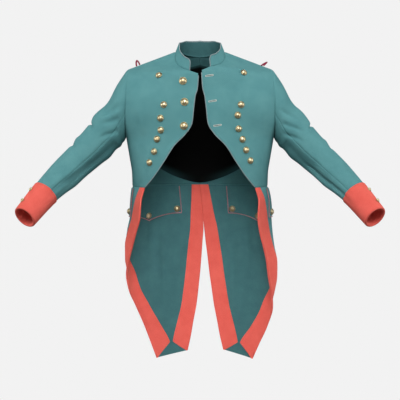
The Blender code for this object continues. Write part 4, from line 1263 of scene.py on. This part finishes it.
def strip_rows(surface: Lattice, first: float, last: float, keep: Sequence[float] = ()) -> Array:
    """Rows for a panel of a surface, evenly spaced by the mean length of its columns.

    Args:
        surface: the surface.
        first: the first row.
        last: the last row.
        keep: rows that have to be among them.

    Returns:
        The rows' places.
    """
    vs = surface.vs[(surface.vs >= first - 1e-9) & (surface.vs <= last + 1e-9)]
    along = run(surface.point(surface.us[None, ::12], vs[:, None]), 0).mean(axis=1)
    rows = np.interp(cell_places(along[-1], CELL), along, vs)
    for row in keep:
        kept = (row - KEPT_STEP, row, row + KEPT_STEP)
        rows = np.append(rows[np.abs(rows - row) > KEPT_CLEAR], kept)
    return np.sort(rows)


def strip_columns(surface: Lattice, vs: Array, first: float, last: float, seam_first: bool = True) -> Array:
    """Columns for a panel of a surface, evenly spaced by the mean length of its rows.

    Args:
        surface: the surface.
        vs: the panel's rows.
        first: the first column.
        last: the last column.
        seam_first: whether the first column is at a seam.

    Returns:
        The columns' places.
    """
    us = np.linspace(first, last, 121)
    along = run(surface.point(us[None], vs[:, None]), 1).mean(axis=0)
    return np.interp(cell_places(along[-1], CELL, seam_first=seam_first), along, us)


@dataclass
class Bodice:
    """The coat's body above the waist: two cutaway fronts, edged with piping, and two backs."""

    drape: Drape
    panels: dict[str, Panel] = field(default_factory=dict)

    def cut(self, side: Side, part: str) -> Panel:
        """The outer face of a front or a back, with its seams turned down and its folds."""
        surface = BODY_SURFACES[side]
        front = part == "front"
        vs = strip_rows(surface, 0, SHOULDER_ROW, (FRONT_CORNER_ROW,)) if front else strip_rows(
            surface, SHOULDER_ROW, WAIST_ROW)
        us = strip_columns(surface, vs, 0, 1, seam_first=not front)
        u, v = us[None], vs[:, None]
        panel = Panel(surface.point(u, v), surface.normal(u, v))
        sewn = np.where(v >= COLLAR_ROW, 1.0, 0.0) if front else np.ones_like(v)
        panel = panel.turned_into((("first_row", 1.0), ("last_row", 1.0), ("first_column", sewn),
                                   ("last_column", ARMHOLE_SEAM)))
        return Panel(self.drape.moved(panel.points * side.flip), panel.ways * side.flip)

    def make_panels(self) -> list[bpy.types.Object]:
        """The fronts and backs."""
        made = []
        for side in Side:
            for part, others in (("front", ("back", "tail")), ("back", ("front", "collar", "tail"))):
                panel = self.cut(side, part)
                piece = sew_sheet(f"{part}_{side.word}", panel, GREEN, CLOTH, "green_wool",
                                  side, GREEN_SHADED_INSIDE)
                self.panels[piece.name] = panel
                made.append(piece)
        return made

    def make_piping(self) -> None:
        """The pale edging down each front."""
        for side in Side:
            surface = BODY_SURFACES[side]
            vs = strip_rows(surface, PIPING_END, FRONT_CORNER_ROW - 2 * PIPING_END)
            edge, inner = surface.point(0.0, vs), surface.point(0.02, vs)
            line = beside(edge, inner, surface.normal(0.0, vs), -CLOTH / 2, GAP + PIPE_RADIUS)
            line = self.drape.moved(line * side.flip)
            piece = tube(f"front_edging_{side.word}", line, PIPE_RADIUS, PALE_ROSE)
            carry(piece, "rose_piping", f"front_piping_{side.word}")


@dataclass
class StandingCollar:
    """The stiff standing collar, one strip round the neck, with rounded front ends and a piped edge."""

    seam_lap: float = 0.0018
    panel: Panel | None = None

    def make(self) -> bpy.types.Object:
        """The collar's strip, whose foot reaches down into the neck seam."""
        base, top = collar_lines()
        base = base - (0, 0, self.seam_lap)
        middle = (base + top) / 2
        along = arcs(middle)
        at = cell_places(along[-1], CELL, seam_first=False, seam_last=False)
        base, top = (between(at, along, line) for line in (base, top))
        height = float(np.linalg.norm(top - base, axis=-1).max())
        shares = cell_places(height, CELL, seam_last=False) / height
        panel = Panel.from_points(base + (top - base) * shares[:, None, None])
        self.panel = panel.turned_into((("first_row", 1.0),))
        return sew_sheet("collar", self.panel, GREEN, CLOTH, "green_wool",
                         wrong_side=GREEN_SHADED_INSIDE)

    def make_piping(self) -> None:
        """The edging round the collar's free edges."""
        points, ways = self.panel.points, self.panel.ways
        edge = np.concatenate((points[2:-1, 0], points[-1], points[-2:1:-1, -1]))
        inner = np.concatenate((points[2:-1, 1], points[-2], points[-2:1:-1, -2]))
        out = np.concatenate((ways[2:-1, 0], ways[-1], ways[-2:1:-1, -1]))
        line = beside(edge, inner, out, -CLOTH / 2, GAP + PIPE_RADIUS)
        carry(tube("collar_edging", line, PIPE_RADIUS, PALE_ROSE), "rose_piping", "collar_piping")


@dataclass
class HalfLining:
    """The black half-lining inside the backs, which ends in a round hem. Its black is painted shadow, faded to
    green at the hem's sides and at its top.
    """

    drape: Drape
    top: float = 16.6
    deepest: float = 23.85
    slope: float = 3.4
    rounding: float = 0.1
    reach: float = 0.86
    rows: int = 84
    half_columns: int = 56
    # How far the painted shadow fades to green up from the hem, how wide its unfaded black middle is, and how
    # far it fades down from the top.
    worn_hem: float = 0.034
    unworn_middle: float = 0.5
    worn_top: float = 0.012

    def make(self) -> bpy.types.Object:
        """The lining, one piece across both backs."""
        halves, hems = [], []
        for side in Side:
            surface = BODY_SURFACES[side]
            u = np.linspace(0, self.reach, self.half_columns)[None]
            end = self.deepest - self.slope * (np.hypot(u, self.rounding) - self.rounding)
            v = self.top + (end - self.top) * np.linspace(0, 1, self.rows)[:, None]
            points = surface.point(u, v) - surface.normal(u, v) * (CLOTH + LINING_CLEAR)
            left = side is Side.LEFT
            points = points * side.flip
            halves.append(points if left else points[:, :0:-1])
        points = self.drape.moved(np.concatenate(halves[::-1], axis=1))
        up, down = run(points[::-1], 0)[::-1], run(points, 0)
        across = np.concatenate((u[0, :0:-1], u[0]))
        # Painted shade: the black fades to green at the hem away from the middle, and at the top.
        worn_hem = (1 - ramp(up / self.worn_hem)) * ramp(across / self.unworn_middle)
        worn = np.maximum(worn_hem, 1 - ramp(down / self.worn_top))
        panel = Panel.from_points(points)
        piece = cut_and_sewn("lining_cloth", panel, SHADOW_LINING_BLACK, LINING, depth=worn)
        carry(piece, "black_lining", "back_lining")
        return piece


@dataclass
class Sleeve:
    """A two-piece sleeve, with its folds, and a deep scarlet cuff turned in at its mouth."""

    side: Side
    folds: tuple[ArmFold, ...]
    hind_seam: float = 108.0
    end_row: float = 7.75
    cuff_top: float = 7.0
    mouth: float = 8.0
    turned_in: float = 7.3
    cuff_cloth: float = 0.0022
    calm_rows: float = 0.5
    panels: dict[str, Panel] = field(default_factory=dict)

    def lie(self, v: Array, angle: Array, out: Array) -> Panel:
        """The sleeve's face at rows and angles, with its folds and a further distance out."""
        v, angle = np.broadcast_arrays(v, angle)
        lift = sum(fold.lift(v, angle) for fold in self.folds) * ramp(v / self.calm_rows)
        return Panel(SLEEVE_SURFACE.point(angle, v), SLEEVE_SURFACE.normal(angle, v)).lifted(lift + out)

    def make_arm(self) -> list[bpy.types.Object]:
        """The top sleeve and the under sleeve."""
        made = []
        seam = self.hind_seam
        for part, first, last in (("top", -seam, seam), ("under", seam, 360 - seam)):
            vs = strip_rows(SLEEVE_SURFACE, 0, self.end_row)
            columns = strip_columns(SLEEVE_SURFACE, vs, first, last)
            panel = self.lie(vs[:, None], columns[None], 0.0)
            seams = (("first_row", ARMHOLE_SEAM), ("first_column", 1.0), ("last_column", 1.0))
            panel = panel.turned_into(seams).on(self.side)
            name = f"sleeve_{part}_{self.side.word}"
            self.panels[name] = panel
            made.append(sew_sheet(name, panel, GREEN, CLOTH, "green_wool",
                                  self.side))
        return made

    def make_cuff(self) -> bpy.types.Object:
        """The cuff: down over the sleeve, round its mouth and up the inside."""
        outside, inside = GAP + CLOTH, -(CLOTH + GAP + self.cuff_cloth)
        turn = (outside - inside) / 2
        ring = float(arm_length(self.mouth) - arm_length(self.mouth - 1))
        end = self.mouth - turn / ring
        down = np.linspace(self.cuff_top, end, round((end - self.cuff_top) * ring / CELL) + 1)
        up = np.linspace(end, self.turned_in, round((end - self.turned_in) * ring / CELL) + 1)
        bend = np.radians(np.arange(15, 180, 15))
        vs = np.concatenate((down, end + np.sin(bend) * turn / ring, up))
        lift = np.concatenate((np.full(len(down), outside), outside - turn + np.cos(bend) * turn,
                               np.full(len(up), inside)))
        columns = strip_columns(SLEEVE_SURFACE, vs, -self.hind_seam, 360 - self.hind_seam)
        panel = self.lie(vs[:, None], columns[None], lift[:, None]).on(self.side)
        name = f"cuff_{self.side.word}"
        self.panels[name] = panel
        return sew_sheet(name, panel, SCARLET, self.cuff_cloth, "scarlet_wool",
                         self.side)


@dataclass
class Tail:
    """One tail, the scarlet facings turned back round its edges, and the pocket flap outside."""

    side: Side
    drape: Drape
    middle: float = 0.4
    row_samples: int = 200
    mitre_row: float = 10.25
    last_row: float = 11.0
    band_start: float = 0.006
    band_last: float = 0.002
    flap_rear: dict[Side, float] = field(default_factory=lambda: {Side.LEFT: 0.085, Side.RIGHT: 0.067})
    flap_front_from_edge: float = 0.054
    flap_top: float = 0.006
    flap_corner: float = 0.094
    flap_point: float = 0.117
    flap_curve: float = 2.2
    snug: float = 0.0005
    snug_rows: tuple[float, float] = (2.2, 0.7)
    leg: float = 0.05
    flap_width: float = 0.14
    flap_crown: float = 0.0008
    flap_side_steps: int = 39
    flap_edge_steps: int = 81
    panels: dict[str, Panel] = field(default_factory=dict)

    def __post_init__(self) -> None:
        self.face = TailSurface(self.side)

    def to_side(self, points: Array) -> Panel:
        """A panel of points on this tail's own side, with the coat's folds."""
        panel = Panel.from_points(self.drape.moved(points * self.side.flip))
        return Panel(panel.points, panel.ways * self.side.value)

    def rows(self, first: float, last: float) -> Array:
        """Rows of the tail, evenly spaced down its middle."""
        vs = np.linspace(first, last, self.row_samples)
        along = arcs(self.face.surface.point(self.middle, vs))
        places = cell_places(along[-1], CELL, seam_last=False)
        return np.interp(places, along, vs)

    def make_panel(self) -> bpy.types.Object:
        """The tail's own cloth."""
        vs = self.rows(0.0, self.last_row)
        length = self.face.length(vs)[:, None]
        shares = cell_places(float(length.mean()), CELL, False, False)[None] / length.mean()
        points = self.face.spots(length * shares, vs[:, None], 0.0)
        panel = Panel.from_points(points).turned_into((("first_row", 1.0),))
        panel = self.to_side(panel.points)
        name = f"tail_{self.side.word}"
        self.panels[name] = panel
        return sew_sheet(name, panel, GREEN, CLOTH, "green_wool",
                         self.side, GREEN_SHADED_INSIDE)

    def band_width(self, edge: Edge, v: Array) -> Array:
        """The width of an edge's facing down the tail. It runs out in a mitre at the hem."""
        left = np.minimum(1, (self.last_row - v) / (self.last_row - self.mitre_row))
        return self.band_last + (BAND_TABLE.read(edge.value, v) - self.band_last) * left

    def make_facing(self, edge: Edge) -> bpy.types.Object:
        """The scarlet facing of an edge: the same width outside and inside, turned round the edge."""
        vs = self.rows(self.band_start, self.last_row)[:, None]
        width = self.band_width(edge, vs)
        lift = FACING_GAP + FACING
        loosens, over = self.snug_rows
        snug = self.snug * (1 - ramp((vs - loosens) / over)) if edge is Edge.VENT else 0.0 * vs
        leg = np.linspace(0, 1, round(self.leg / CELL) + 1)
        bend = np.radians(np.arange(20, 180, 20))
        middle, half = -CLOTH / 2, CLOTH / 2 + lift
        inwards = np.concatenate([np.broadcast_to(part, (len(vs), part.shape[-1])) for part in (
            width * leg[::-1], -(lift + snug) * np.sin(bend)[None], width * leg)], axis=1)
        height = np.concatenate((np.full(len(leg), middle + half), middle + half * np.cos(bend),
                                 np.full(len(leg), middle - half)))
        length = self.face.length(vs)
        distance = inwards if edge is Edge.VENT else length - inwards
        points = self.face.spots(distance, vs, height[None])
        if edge is Edge.VENT:
            points = points[:, ::-1]
        panel = self.to_side(points)
        name = f"{edge.value}_facing_{self.side.word}"
        self.panels[name] = panel
        return sew_sheet(name, panel, SCARLET, FACING, "scarlet_wool",
                         self.side)

    def flap_spots(self, share: Array, down: Array, lift: Array) -> Array:
        """Points over the flap, by the share of its width and how far down to its edge they lie."""
        point = (1 - np.abs(2 * share - 1)) ** self.flap_curve
        drop = self.flap_corner + (self.flap_point - self.flap_corner) * point
        v = self.face.row_below_waist(self.flap_top + (drop - self.flap_top) * down)
        rear = self.flap_rear[self.side]
        width = self.face.length(v) - self.flap_front_from_edge - rear
        return self.face.spots(rear + width * share, v, lift)

    def make_flap(self) -> bpy.types.Object:
        """The pointed pocket flap, its piping, and the same piping where it shows inside the tail."""
        share = np.linspace(0, 1, round(self.flap_width / CELL) + 1)
        down = cell_places(self.flap_point, CELL, seam_last=False) / self.flap_point
        clear = FLAP_SEAM_CLEAR + (FLAP_CLEAR - FLAP_SEAM_CLEAR) * ramp(down / 0.2)
        crown = self.flap_crown * np.sin(np.pi * share)[None] * np.sin(np.pi * down)[:, None]
        points = self.flap_spots(share[None], down[:, None], clear[:, None] + FACING + crown)
        panel = self.to_side(points)
        name = f"pocket_flap_{self.side.word}"
        piece = sew_sheet(name, panel, GREEN, FACING, "green_wool",
                          self.side)
        self.panels[name] = panel
        sides, lower = self.flap_side_steps, self.flap_edge_steps
        along = np.linspace(0, 1, sides + 1)
        edge_share = np.concatenate((np.zeros(sides), np.linspace(0, 1, lower), np.ones(sides)))
        edge_down = np.concatenate((along[:-1], np.ones(lower), along[-2::-1]))
        edge, inner = (self.flap_spots(0.5 + (edge_share - 0.5) * k, edge_down * k, 0.0) for k in (1.0, 0.97))
        ways = unit(self.flap_spots(edge_share, edge_down, 0.001) - edge)
        outside = beside(edge, inner, ways, FLAP_CLEAR + PIPE_RADIUS, FLAP_PIPING_OUT)
        inside = edge - ways * (CLOTH + STAY_CLEAR + PIPE_RADIUS)
        for word, line in (("flap", outside), ("stay", inside)):
            line = self.drape.moved(line * self.side.flip)
            piping = tube(f"{word}_cord_{self.side.word}", line, PIPE_RADIUS, ROSE)
            carry(piping, "rose_piping", f"{word}_piping_{self.side.word}")
        return piece


@dataclass
class ShoulderLoop:
    """A standing loop of crimson braid on the shoulder seam, its ends sewn down."""

    side: Side
    share: float
    half: float
    rise: float
    lean: float
    width: float = 0.008
    braid: float = 0.0045
    crown: float = 0.0012
    seat: float = 0.0008
    look_ahead: float = 0.02
    steps: int = 25
    threads: int = 9

    def make(self) -> bpy.types.Object:
        """The loop."""
        surface = BODY_SURFACES[self.side]
        spot = surface.point(self.share, float(SHOULDER_ROW))
        normal = surface.normal(self.share, float(SHOULDER_ROW))
        along = unit(surface.point(self.share + self.look_ahead, float(SHOULDER_ROW)) - spot)
        lean = math.radians(self.lean)
        up = normal * math.cos(lean) + along * math.sin(lean)
        base = spot + normal * self.seat
        turn = np.radians(np.linspace(0, 180, self.steps))[:, None]
        line = base + along * self.half * np.cos(turn) + up * self.rise * np.sin(turn)
        sideways = np.linspace(-self.width / 2, self.width / 2, self.threads)
        points = line[:, None] + np.stack((sideways * 0, sideways, sideways * 0), axis=-1)[None]
        panel = Panel.from_points(points).lifted(-self.crown * (2 * sideways / self.width)[None] ** 2)
        panel = panel.on(self.side)
        piece = cut_and_sewn(f"shoulder_loop_{self.side.word}_braid", panel, CRIMSON, self.braid,
                             reverse=self.side is Side.RIGHT)
        carry(piece, "crimson_braid", f"shoulder_loop_{self.side.word}")
        return piece


@dataclass
class Buttons:
    """Turned and stamped brass buttons: a flat back, a rolled rim, a groove inside it and a dome."""

    needle: Needle
    sizes: dict[str, tuple[float, float]] = field(default_factory=lambda: {
        "closing": (0.0240, 0.0090), "row": (0.0205, 0.0080), "flap": (0.0205, 0.0080),
        "stay": (0.0205, 0.0080), "cuff": (0.0135, 0.0060)})
    profile: tuple[tuple[float, float], ...] = (
        (0.0, 0.0), (0.90, 0.0), (0.97, 0.06), (1.0, 0.18), (0.98, 0.31), (0.93, 0.38), (0.885, 0.38),
        (0.86, 0.34), (0.83, 0.38), (0.76, 0.52), (0.64, 0.70), (0.48, 0.85), (0.30, 0.95), (0.14, 0.99),
        (0.0, 1.0),
    )
    groove: tuple[float, float] = (0.82, 0.90)
    groove_dirt: float = 0.9
    # Below this share of the height the brass is darkened as painted shade where the button meets the cloth; the
    # groove's darkening is patina.
    foot: float = 0.3
    foot_dirt: float = 0.35
    steps: int = 32
    seat: float = 0.0005

    def cloth_under(self, node: str) -> str:
        """The cloth that a button's node is sewn on."""
        kind, _, word, *_ = node.split("_")
        if kind == "closing":
            return "front_right_cloth"
        panel = {"row": "front", "cuff": "cuff", "flap": "pocket_flap", "stay": "tail"}[kind]
        return f"{panel}_{word}_cloth"

    def turn(self, name: str, diameter: float, height: float, place: Vector, way: Vector) -> bpy.types.Object:
        """Spins a button's profile and seats it.

        Args:
            name: the button's name.
            diameter: its diameter.
            height: its height over the cloth.
            place: where its back lies.
            way: which way it faces.

        Returns:
            The button.
        """
        bm = bmesh.new()
        spots = [bm.verts.new((r * diameter / 2, 0, h * height)) for r, h in self.profile]
        edges = [bm.edges.new(pair) for pair in zip(spots, spots[1:])]
        bmesh.ops.spin(bm, geom=spots + edges, cent=(0, 0, 0), axis=(0, 0, 1), angle=math.tau,
                       steps=self.steps, use_merge=True)
        bmesh.ops.remove_doubles(bm, verts=bm.verts, dist=1e-6)
        bmesh.ops.recalc_face_normals(bm, faces=bm.faces)
        low, high = (share * diameter / 2 for share in self.groove)
        foot = self.foot * height
        # Patina in the groove, and painted shade at the foot.
        patina_and_foot_shade = [self.groove_dirt if low < math.hypot(v.co.x, v.co.y) < high and v.co.z > foot
                else self.foot_dirt if v.co.z < foot else 0.0 for v in bm.verts]
        turned = way.to_track_quat("Z", "Y").to_matrix().to_4x4()
        bmesh.ops.transform(bm, matrix=Matrix.Translation(place) @ turned, verts=bm.verts)
        piece = link(bm, name, BRASS)
        layer = piece.data.attributes.new("depth", "FLOAT", "POINT")
        layer.data.foreach_set("value", patina_and_foot_shade)
        return piece

    def make(self) -> None:
        """Every button, on the cloth at its own node."""
        for node in sorted(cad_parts):
            if "_button_" not in node:
                continue
            low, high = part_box(node)
            place, way = self.needle.nearest(self.cloth_under(node), (low + high) / 2)
            diameter, height = self.sizes[node.split("_")[0]]
            piece = self.turn(f"{node}_brass", diameter, height, place + way * self.seat, way)
            carry(piece, "brass", node)


@dataclass
class Buttonholes:
    """Three worked buttonholes down the left front: a slit between two raised rows of twist."""

    needle: Needle
    places: tuple[Point, ...] = (
        (0.0289, -0.11, -0.0796), (0.0383, -0.126, -0.1572), (0.0532, -0.131, -0.231),
    )
    length: float = 0.024
    half_width: float = 0.0019
    twist: float = 0.0009
    rise: float = 8.0
    steps: int = 49
    end_sharpness: float = 3.0
    slit: float = 0.0006
    slit_short: float = 0.003
    slit_steps: int = 9

    def make(self) -> None:
        """The worked edges, and in each a black cord that paints the shade in the slit."""
        rise = math.radians(self.rise)
        aim = np.array((math.cos(rise), 0.0, math.sin(rise)))
        up = np.array((-math.sin(rise), 0.0, math.cos(rise)))
        turn = np.radians(np.linspace(0, 360, self.steps))
        for number, middle in enumerate(self.places, 1):
            straight = np.sign(np.cos(turn)) * np.minimum(1, np.abs(np.cos(turn)) * self.end_sharpness)
            reach = (self.length / 2 - self.half_width) * straight
            spots = np.array(middle) + np.outer(reach + self.half_width * np.cos(turn), aim)
            spots = spots + np.outer(self.half_width * np.sin(turn), up)
            ring = np.array([self.needle.seat("front_left_cloth", spot, (0, -1, 0))[0] for spot in spots])
            carry(tube(f"buttonhole_{number}_twist", ring, self.twist, PALE_THREAD, sides=8), "rose_piping")
            # A black cord down the slit is painted shade where the cut opens.
            shares = np.linspace(-0.5, 0.5, self.slit_steps)
            slit = np.array(middle) + np.outer(shares * (self.length - self.slit_short), aim)
            line = np.array([self.needle.seat("front_left_cloth", spot, (0, -1, 0))[0] for spot in slit])
            carry(tube(f"buttonhole_{number}_slit", line, self.slit, SLIT_SHADOW_CORD, sides=6), "black_lining")


@dataclass(frozen=True)
class Lamp:
    """A square soft lamp, aimed at the coat's middle or at a place of its own, with a spread in degrees."""

    name: str
    place: Point
    size: float
    watts: float
    aim: Point = COAT_MIDDLE
    spread: float = 180.0

    def hang(self) -> None:
        """Puts the lamp in its place, out of the camera's sight."""
        data = bpy.data.lights.new(self.name, "AREA")
        data.shape, data.size, data.energy = "SQUARE", self.size, self.watts
        data.spread = math.radians(self.spread)
        lamp = bpy.data.objects.new(self.name, data)
        lamp.location = self.place
        lamp.rotation_euler = (Vector(self.aim) - Vector(self.place)).to_track_quat("-Z", "Y").to_euler()
        lamp.visible_camera = False
        bpy.context.collection.objects.link(lamp)


# A high lamp in front, one at each side, a low one for the tails and one behind.
LAMPS = (
    Lamp("front_lamp", (0.0, -2.6, 1.79), 1.7, 92.0),
    Lamp("left_lamp", (3.3, -0.6, 0.2), 1.6, 42.0),
    Lamp("right_lamp", (-3.3, -0.6, 0.2), 1.6, 42.0),
    Lamp("tail_lamp", (0.0, -2.4, -0.62), 0.6, 0.75, aim=(0.0, 0.05, -0.78), spread=28.0),
    Lamp("back_lamp", (0.0, 3.2, 0.9), 1.8, 90.0),
)


@dataclass
class Studio:
    """The pale room, its soft lamps and the camera."""

    floor_z: float = -1.35
    room: float = 12.0
    floor_share: float = 0.98
    room_light: float = 0.15
    target: Point = COAT_MIDDLE
    distance: float = 3.0
    elevation: float = 5.0
    lens: float = 84.4

    def make_room(self) -> None:
        """The floor and the round wall, which the camera sees and the cloth doesn't."""
        wall = PaintedWall("matt studio paint")
        bm = bmesh.new()
        bmesh.ops.create_uvsphere(bm, u_segments=48, v_segments=24, radius=self.room)
        bmesh.ops.reverse_faces(bm, faces=bm.faces)
        dome = link(bm, "studio_wall", wall)
        bm = bmesh.new()
        bmesh.ops.create_circle(bm, cap_ends=True, segments=64, radius=self.room * self.floor_share,
                                matrix=Matrix.Translation((0, 0, self.floor_z)))
        floor = link(bm, "studio_floor", wall, smooth_faces=False)
        for thing in (dome, floor):
            for ray in ("diffuse", "glossy", "transmission", "shadow", "volume_scatter"):
                setattr(thing, f"visible_{ray}", False)

    def light(self) -> None:
        """The lamps and a faint room light."""
        for lamp in LAMPS:
            lamp.hang()
        room = bpy.data.worlds.new("room")
        room.use_nodes = True
        sky = room.node_tree.nodes["Background"]
        sky.inputs["Color"].default_value = linear(PaintedWall.paint)
        sky.inputs["Strength"].default_value = self.room_light
        bpy.context.scene.world = room

    def place_camera(self) -> None:
        """The camera at the photograph's angle and distance."""
        data = bpy.data.cameras.new("camera")
        data.lens, data.sensor_width = self.lens, 36.0
        camera = bpy.data.objects.new("camera", data)
        rise = math.radians(self.elevation)
        back = Vector((0, -math.cos(rise), math.sin(rise)))
        camera.location = Vector(self.target) + back * self.distance
        camera.rotation_euler = (-back).to_track_quat("-Z", "Y").to_euler()
        bpy.context.collection.objects.link(camera)
        bpy.context.scene.camera = camera
        bpy.context.scene.view_settings.view_transform = "Standard"


BODY_FOLDS = (
    # Fronts, on the wearer's right.
    Crease((-0.198, -0.090, -0.170), (-0.192, -0.095, -0.290), 0.010, -0.0025),
    Crease((-0.178, -0.100, -0.160), (-0.176, -0.105, -0.290), 0.012, 0.0015),
    Crease((-0.155, -0.115, -0.130), (-0.155, -0.115, -0.270), 0.016, -0.0012),
    Crease((-0.190, -0.060, -0.410), (-0.130, -0.110, -0.300), 0.014, 0.0015),
    # Fronts, on the wearer's left.
    Crease((0.152, -0.115, -0.230), (0.152, -0.110, -0.310), 0.010, -0.0015),
    Crease((0.190, -0.090, -0.150), (0.187, -0.090, -0.270), 0.012, -0.0020),
    Crease((0.190, -0.060, -0.405), (0.140, -0.105, -0.310), 0.014, 0.0014),
    # Shoulders.
    Crease((0.085, -0.040, -0.030), (0.160, -0.060, -0.060), 0.012, -0.0010),
    Crease((-0.090, -0.045, -0.032), (-0.165, -0.062, -0.065), 0.012, -0.0010),
    # Back.
    Crease((-0.170, 0.070, -0.150), (-0.120, 0.100, -0.300), 0.016, -0.0025),
    Crease((0.170, 0.070, -0.145), (0.122, 0.100, -0.305), 0.017, -0.0025),
    Crease((-0.100, 0.115, -0.130), (0.100, 0.115, -0.140), 0.018, -0.0015),
    Crease((-0.120, 0.090, -0.370), (0.020, 0.092, -0.385), 0.010, -0.0020),
    Crease((0.030, 0.090, -0.360), (0.140, 0.080, -0.380), 0.010, -0.0015),
    # Tails.
    Crease((-0.164, 0.080, -0.460), (-0.160, 0.085, -0.670), 0.012, 0.0075),
    Crease((-0.126, 0.105, -0.600), (-0.118, 0.110, -0.820), 0.013, 0.0065),
    Crease((-0.145, 0.095, -0.560), (-0.138, 0.100, -0.760), 0.012, -0.0050),
    Crease((0.158, 0.085, -0.520), (0.160, 0.090, -0.700), 0.012, 0.0065),
    Crease((0.110, 0.105, -0.600), (0.116, 0.112, -0.840), 0.013, 0.0060),
    Crease((0.134, 0.098, -0.540), (0.138, 0.105, -0.760), 0.012, -0.0045),
)

ARM_FOLDS = {
    Side.RIGHT: (
        ArmFold((1.2, 108), (7.6, 100), 0.015, 0.0032),
        ArmFold((1.4, 143), (7.4, 138), 0.019, -0.0062),
        ArmFold((3.75, -70), (4.15, 62), 0.0052, -0.0082),
        ArmFold((3.40, -60), (3.62, 55), 0.011, 0.0038),
        ArmFold((0.4, 92), (3.6, 30), 0.0056, -0.0050),
        ArmFold((0.9, 108), (3.7, 58), 0.0056, -0.0048),
        ArmFold((1.4, 122), (4.4, 84), 0.0062, -0.0050),
        ArmFold((0.6, 100), (3.65, 45), 0.0070, 0.0032),
        ArmFold((5.05, -40), (5.30, 66), 0.0070, -0.0044),
        ArmFold((4.8, -30), (5.0, 64), 0.009, 0.0030),
        ArmFold((5.6, 110), (7.3, 85), 0.008, 0.0020),
        ArmFold((5.4, 125), (7.4, 110), 0.008, -0.0020),
        ArmFold((5.9, 140), (7.5, 135), 0.008, 0.0018),
        ArmFold((3.6, -150), (4.6, -80), 0.010, -0.0030),
        ArmFold((4.3, -160), (5.3, -100), 0.010, 0.0025),
        ArmFold((5.2, -140), (6.4, -110), 0.010, -0.0020),
    ),
    Side.LEFT: (
        ArmFold((1.2, 107), (7.6, 100), 0.015, 0.0030),
        ArmFold((1.5, 142), (7.4, 138), 0.019, -0.0060),
        ArmFold((3.95, -60), (4.30, 56), 0.0052, -0.0082),
        ArmFold((3.60, -55), (3.75, 40), 0.014, 0.0026),
        ArmFold((4.9, -40), (5.1, 50), 0.010, 0.0030),
        ArmFold((5.2, -35), (5.4, 45), 0.008, -0.0022),
        ArmFold((0.5, 96), (3.8, 42), 0.0056, -0.0050),
        ArmFold((1.0, 112), (4.2, 64), 0.0056, -0.0048),
        ArmFold((1.8, 122), (4.6, 88), 0.0062, -0.0048),
        ArmFold((4.4, 140), (7.6, 118), 0.010, 0.0030),
        ArmFold((4.6, 155), (7.5, 135), 0.009, -0.0030),
        ArmFold((5.0, 170), (7.4, 150), 0.010, 0.0025),
        ArmFold((3.8, -145), (4.8, -85), 0.010, -0.0028),
        ArmFold((4.5, -155), (5.5, -95), 0.010, 0.0024),
        ArmFold((5.4, -135), (6.6, -105), 0.010, -0.0020),
    ),
}


def stitch(
    needle: Needle, bodice: Bodice, collar: StandingCollar, sleeves: list[Sleeve], tails: list[Tail],
) -> None:
    """The prick stitches beside every turned edge.

    Args:
        needle: what finds the cloth.
        bodice: the fronts and backs.
        collar: the collar.
        sleeves: both sleeves.
        tails: both tails.
    """
    def sew(name: str, node: str, panel: Panel, line: int, rows: bool = False, scarlet: bool = False) -> None:
        """Sews along one of a panel's rows or columns."""
        place = (line,) if rows else (slice(None), line)
        finish, slot = (SCARLET_THREAD, "scarlet_wool") if scarlet else (GREEN_THREAD, "green_wool")
        points, ways = panel.points[place][2:-2], panel.ways[place][2:-2]
        carry(needle.row(name, f"{node}_cloth", points, ways, finish), slot)

    for side in Side:
        node = f"front_{side.word}"
        panel = bodice.panels[f"{node}_cloth"]
        edged = panel.points.shape[0] * 3 // 4
        sew(f"front_stitches_{side.word}", node, Panel(panel.points[:edged], panel.ways[:edged]), 1)
    sew("collar_stitches", "collar", collar.panel, -2, rows=True)
    for sleeve in sleeves:
        node = f"cuff_{sleeve.side.word}"
        sew(f"cuff_stitches_{sleeve.side.word}", node, sleeve.panels[node], 1, rows=True, scarlet=True)
    for tail in tails:
        word = tail.side.word
        node = f"pocket_flap_{word}"
        for place, line, rows in (("rear", 1, False), ("front", -2, False), ("lower", -2, True)):
            sew(f"flap_stitches_{word}_{place}", node, tail.panels[node], line, rows)
        for edge in Edge:
            node = f"{edge.value}_facing_{word}"
            for face, line in (("outside", 1), ("inside", -2)):
                sew(f"{node}_stitches_{face}", node, tail.panels[node], line, scarlet=True)


def main() -> None:
    """Builds the coat's cloth, sews it, sets its buttons and lights it."""
    logging.basicConfig(level=logging.INFO, format="%(message)s")
    drape = Drape(BODY_FOLDS)
    bodice = Bodice(drape)
    cloths = bodice.make_panels()
    bodice.make_piping()
    collar = StandingCollar()
    cloths.append(collar.make())
    collar.make_piping()
    HalfLining(drape).make()
    sleeves = [Sleeve(side, ARM_FOLDS[side]) for side in Side]
    for sleeve in sleeves:
        cloths += [*sleeve.make_arm(), sleeve.make_cuff()]
    tails = [Tail(side, drape) for side in Side]
    for tail in tails:
        cloths += [tail.make_panel(), *(tail.make_facing(edge) for edge in Edge), tail.make_flap()]
    ShoulderLoop(Side.LEFT, share=0.785, half=0.0055, rise=0.0205, lean=32.0).make()
    ShoulderLoop(Side.RIGHT, share=0.775, half=0.0078, rise=0.0180, lean=-4.0).make()
    needle = Needle(cloths)
    Buttons(needle).make()
    Buttonholes(needle).make()
    stitch(needle, bodice, collar, sleeves, tails)
    studio = Studio()
    studio.make_room()
    studio.light()
    studio.place_camera()


if __name__ == "__main__":
    main()
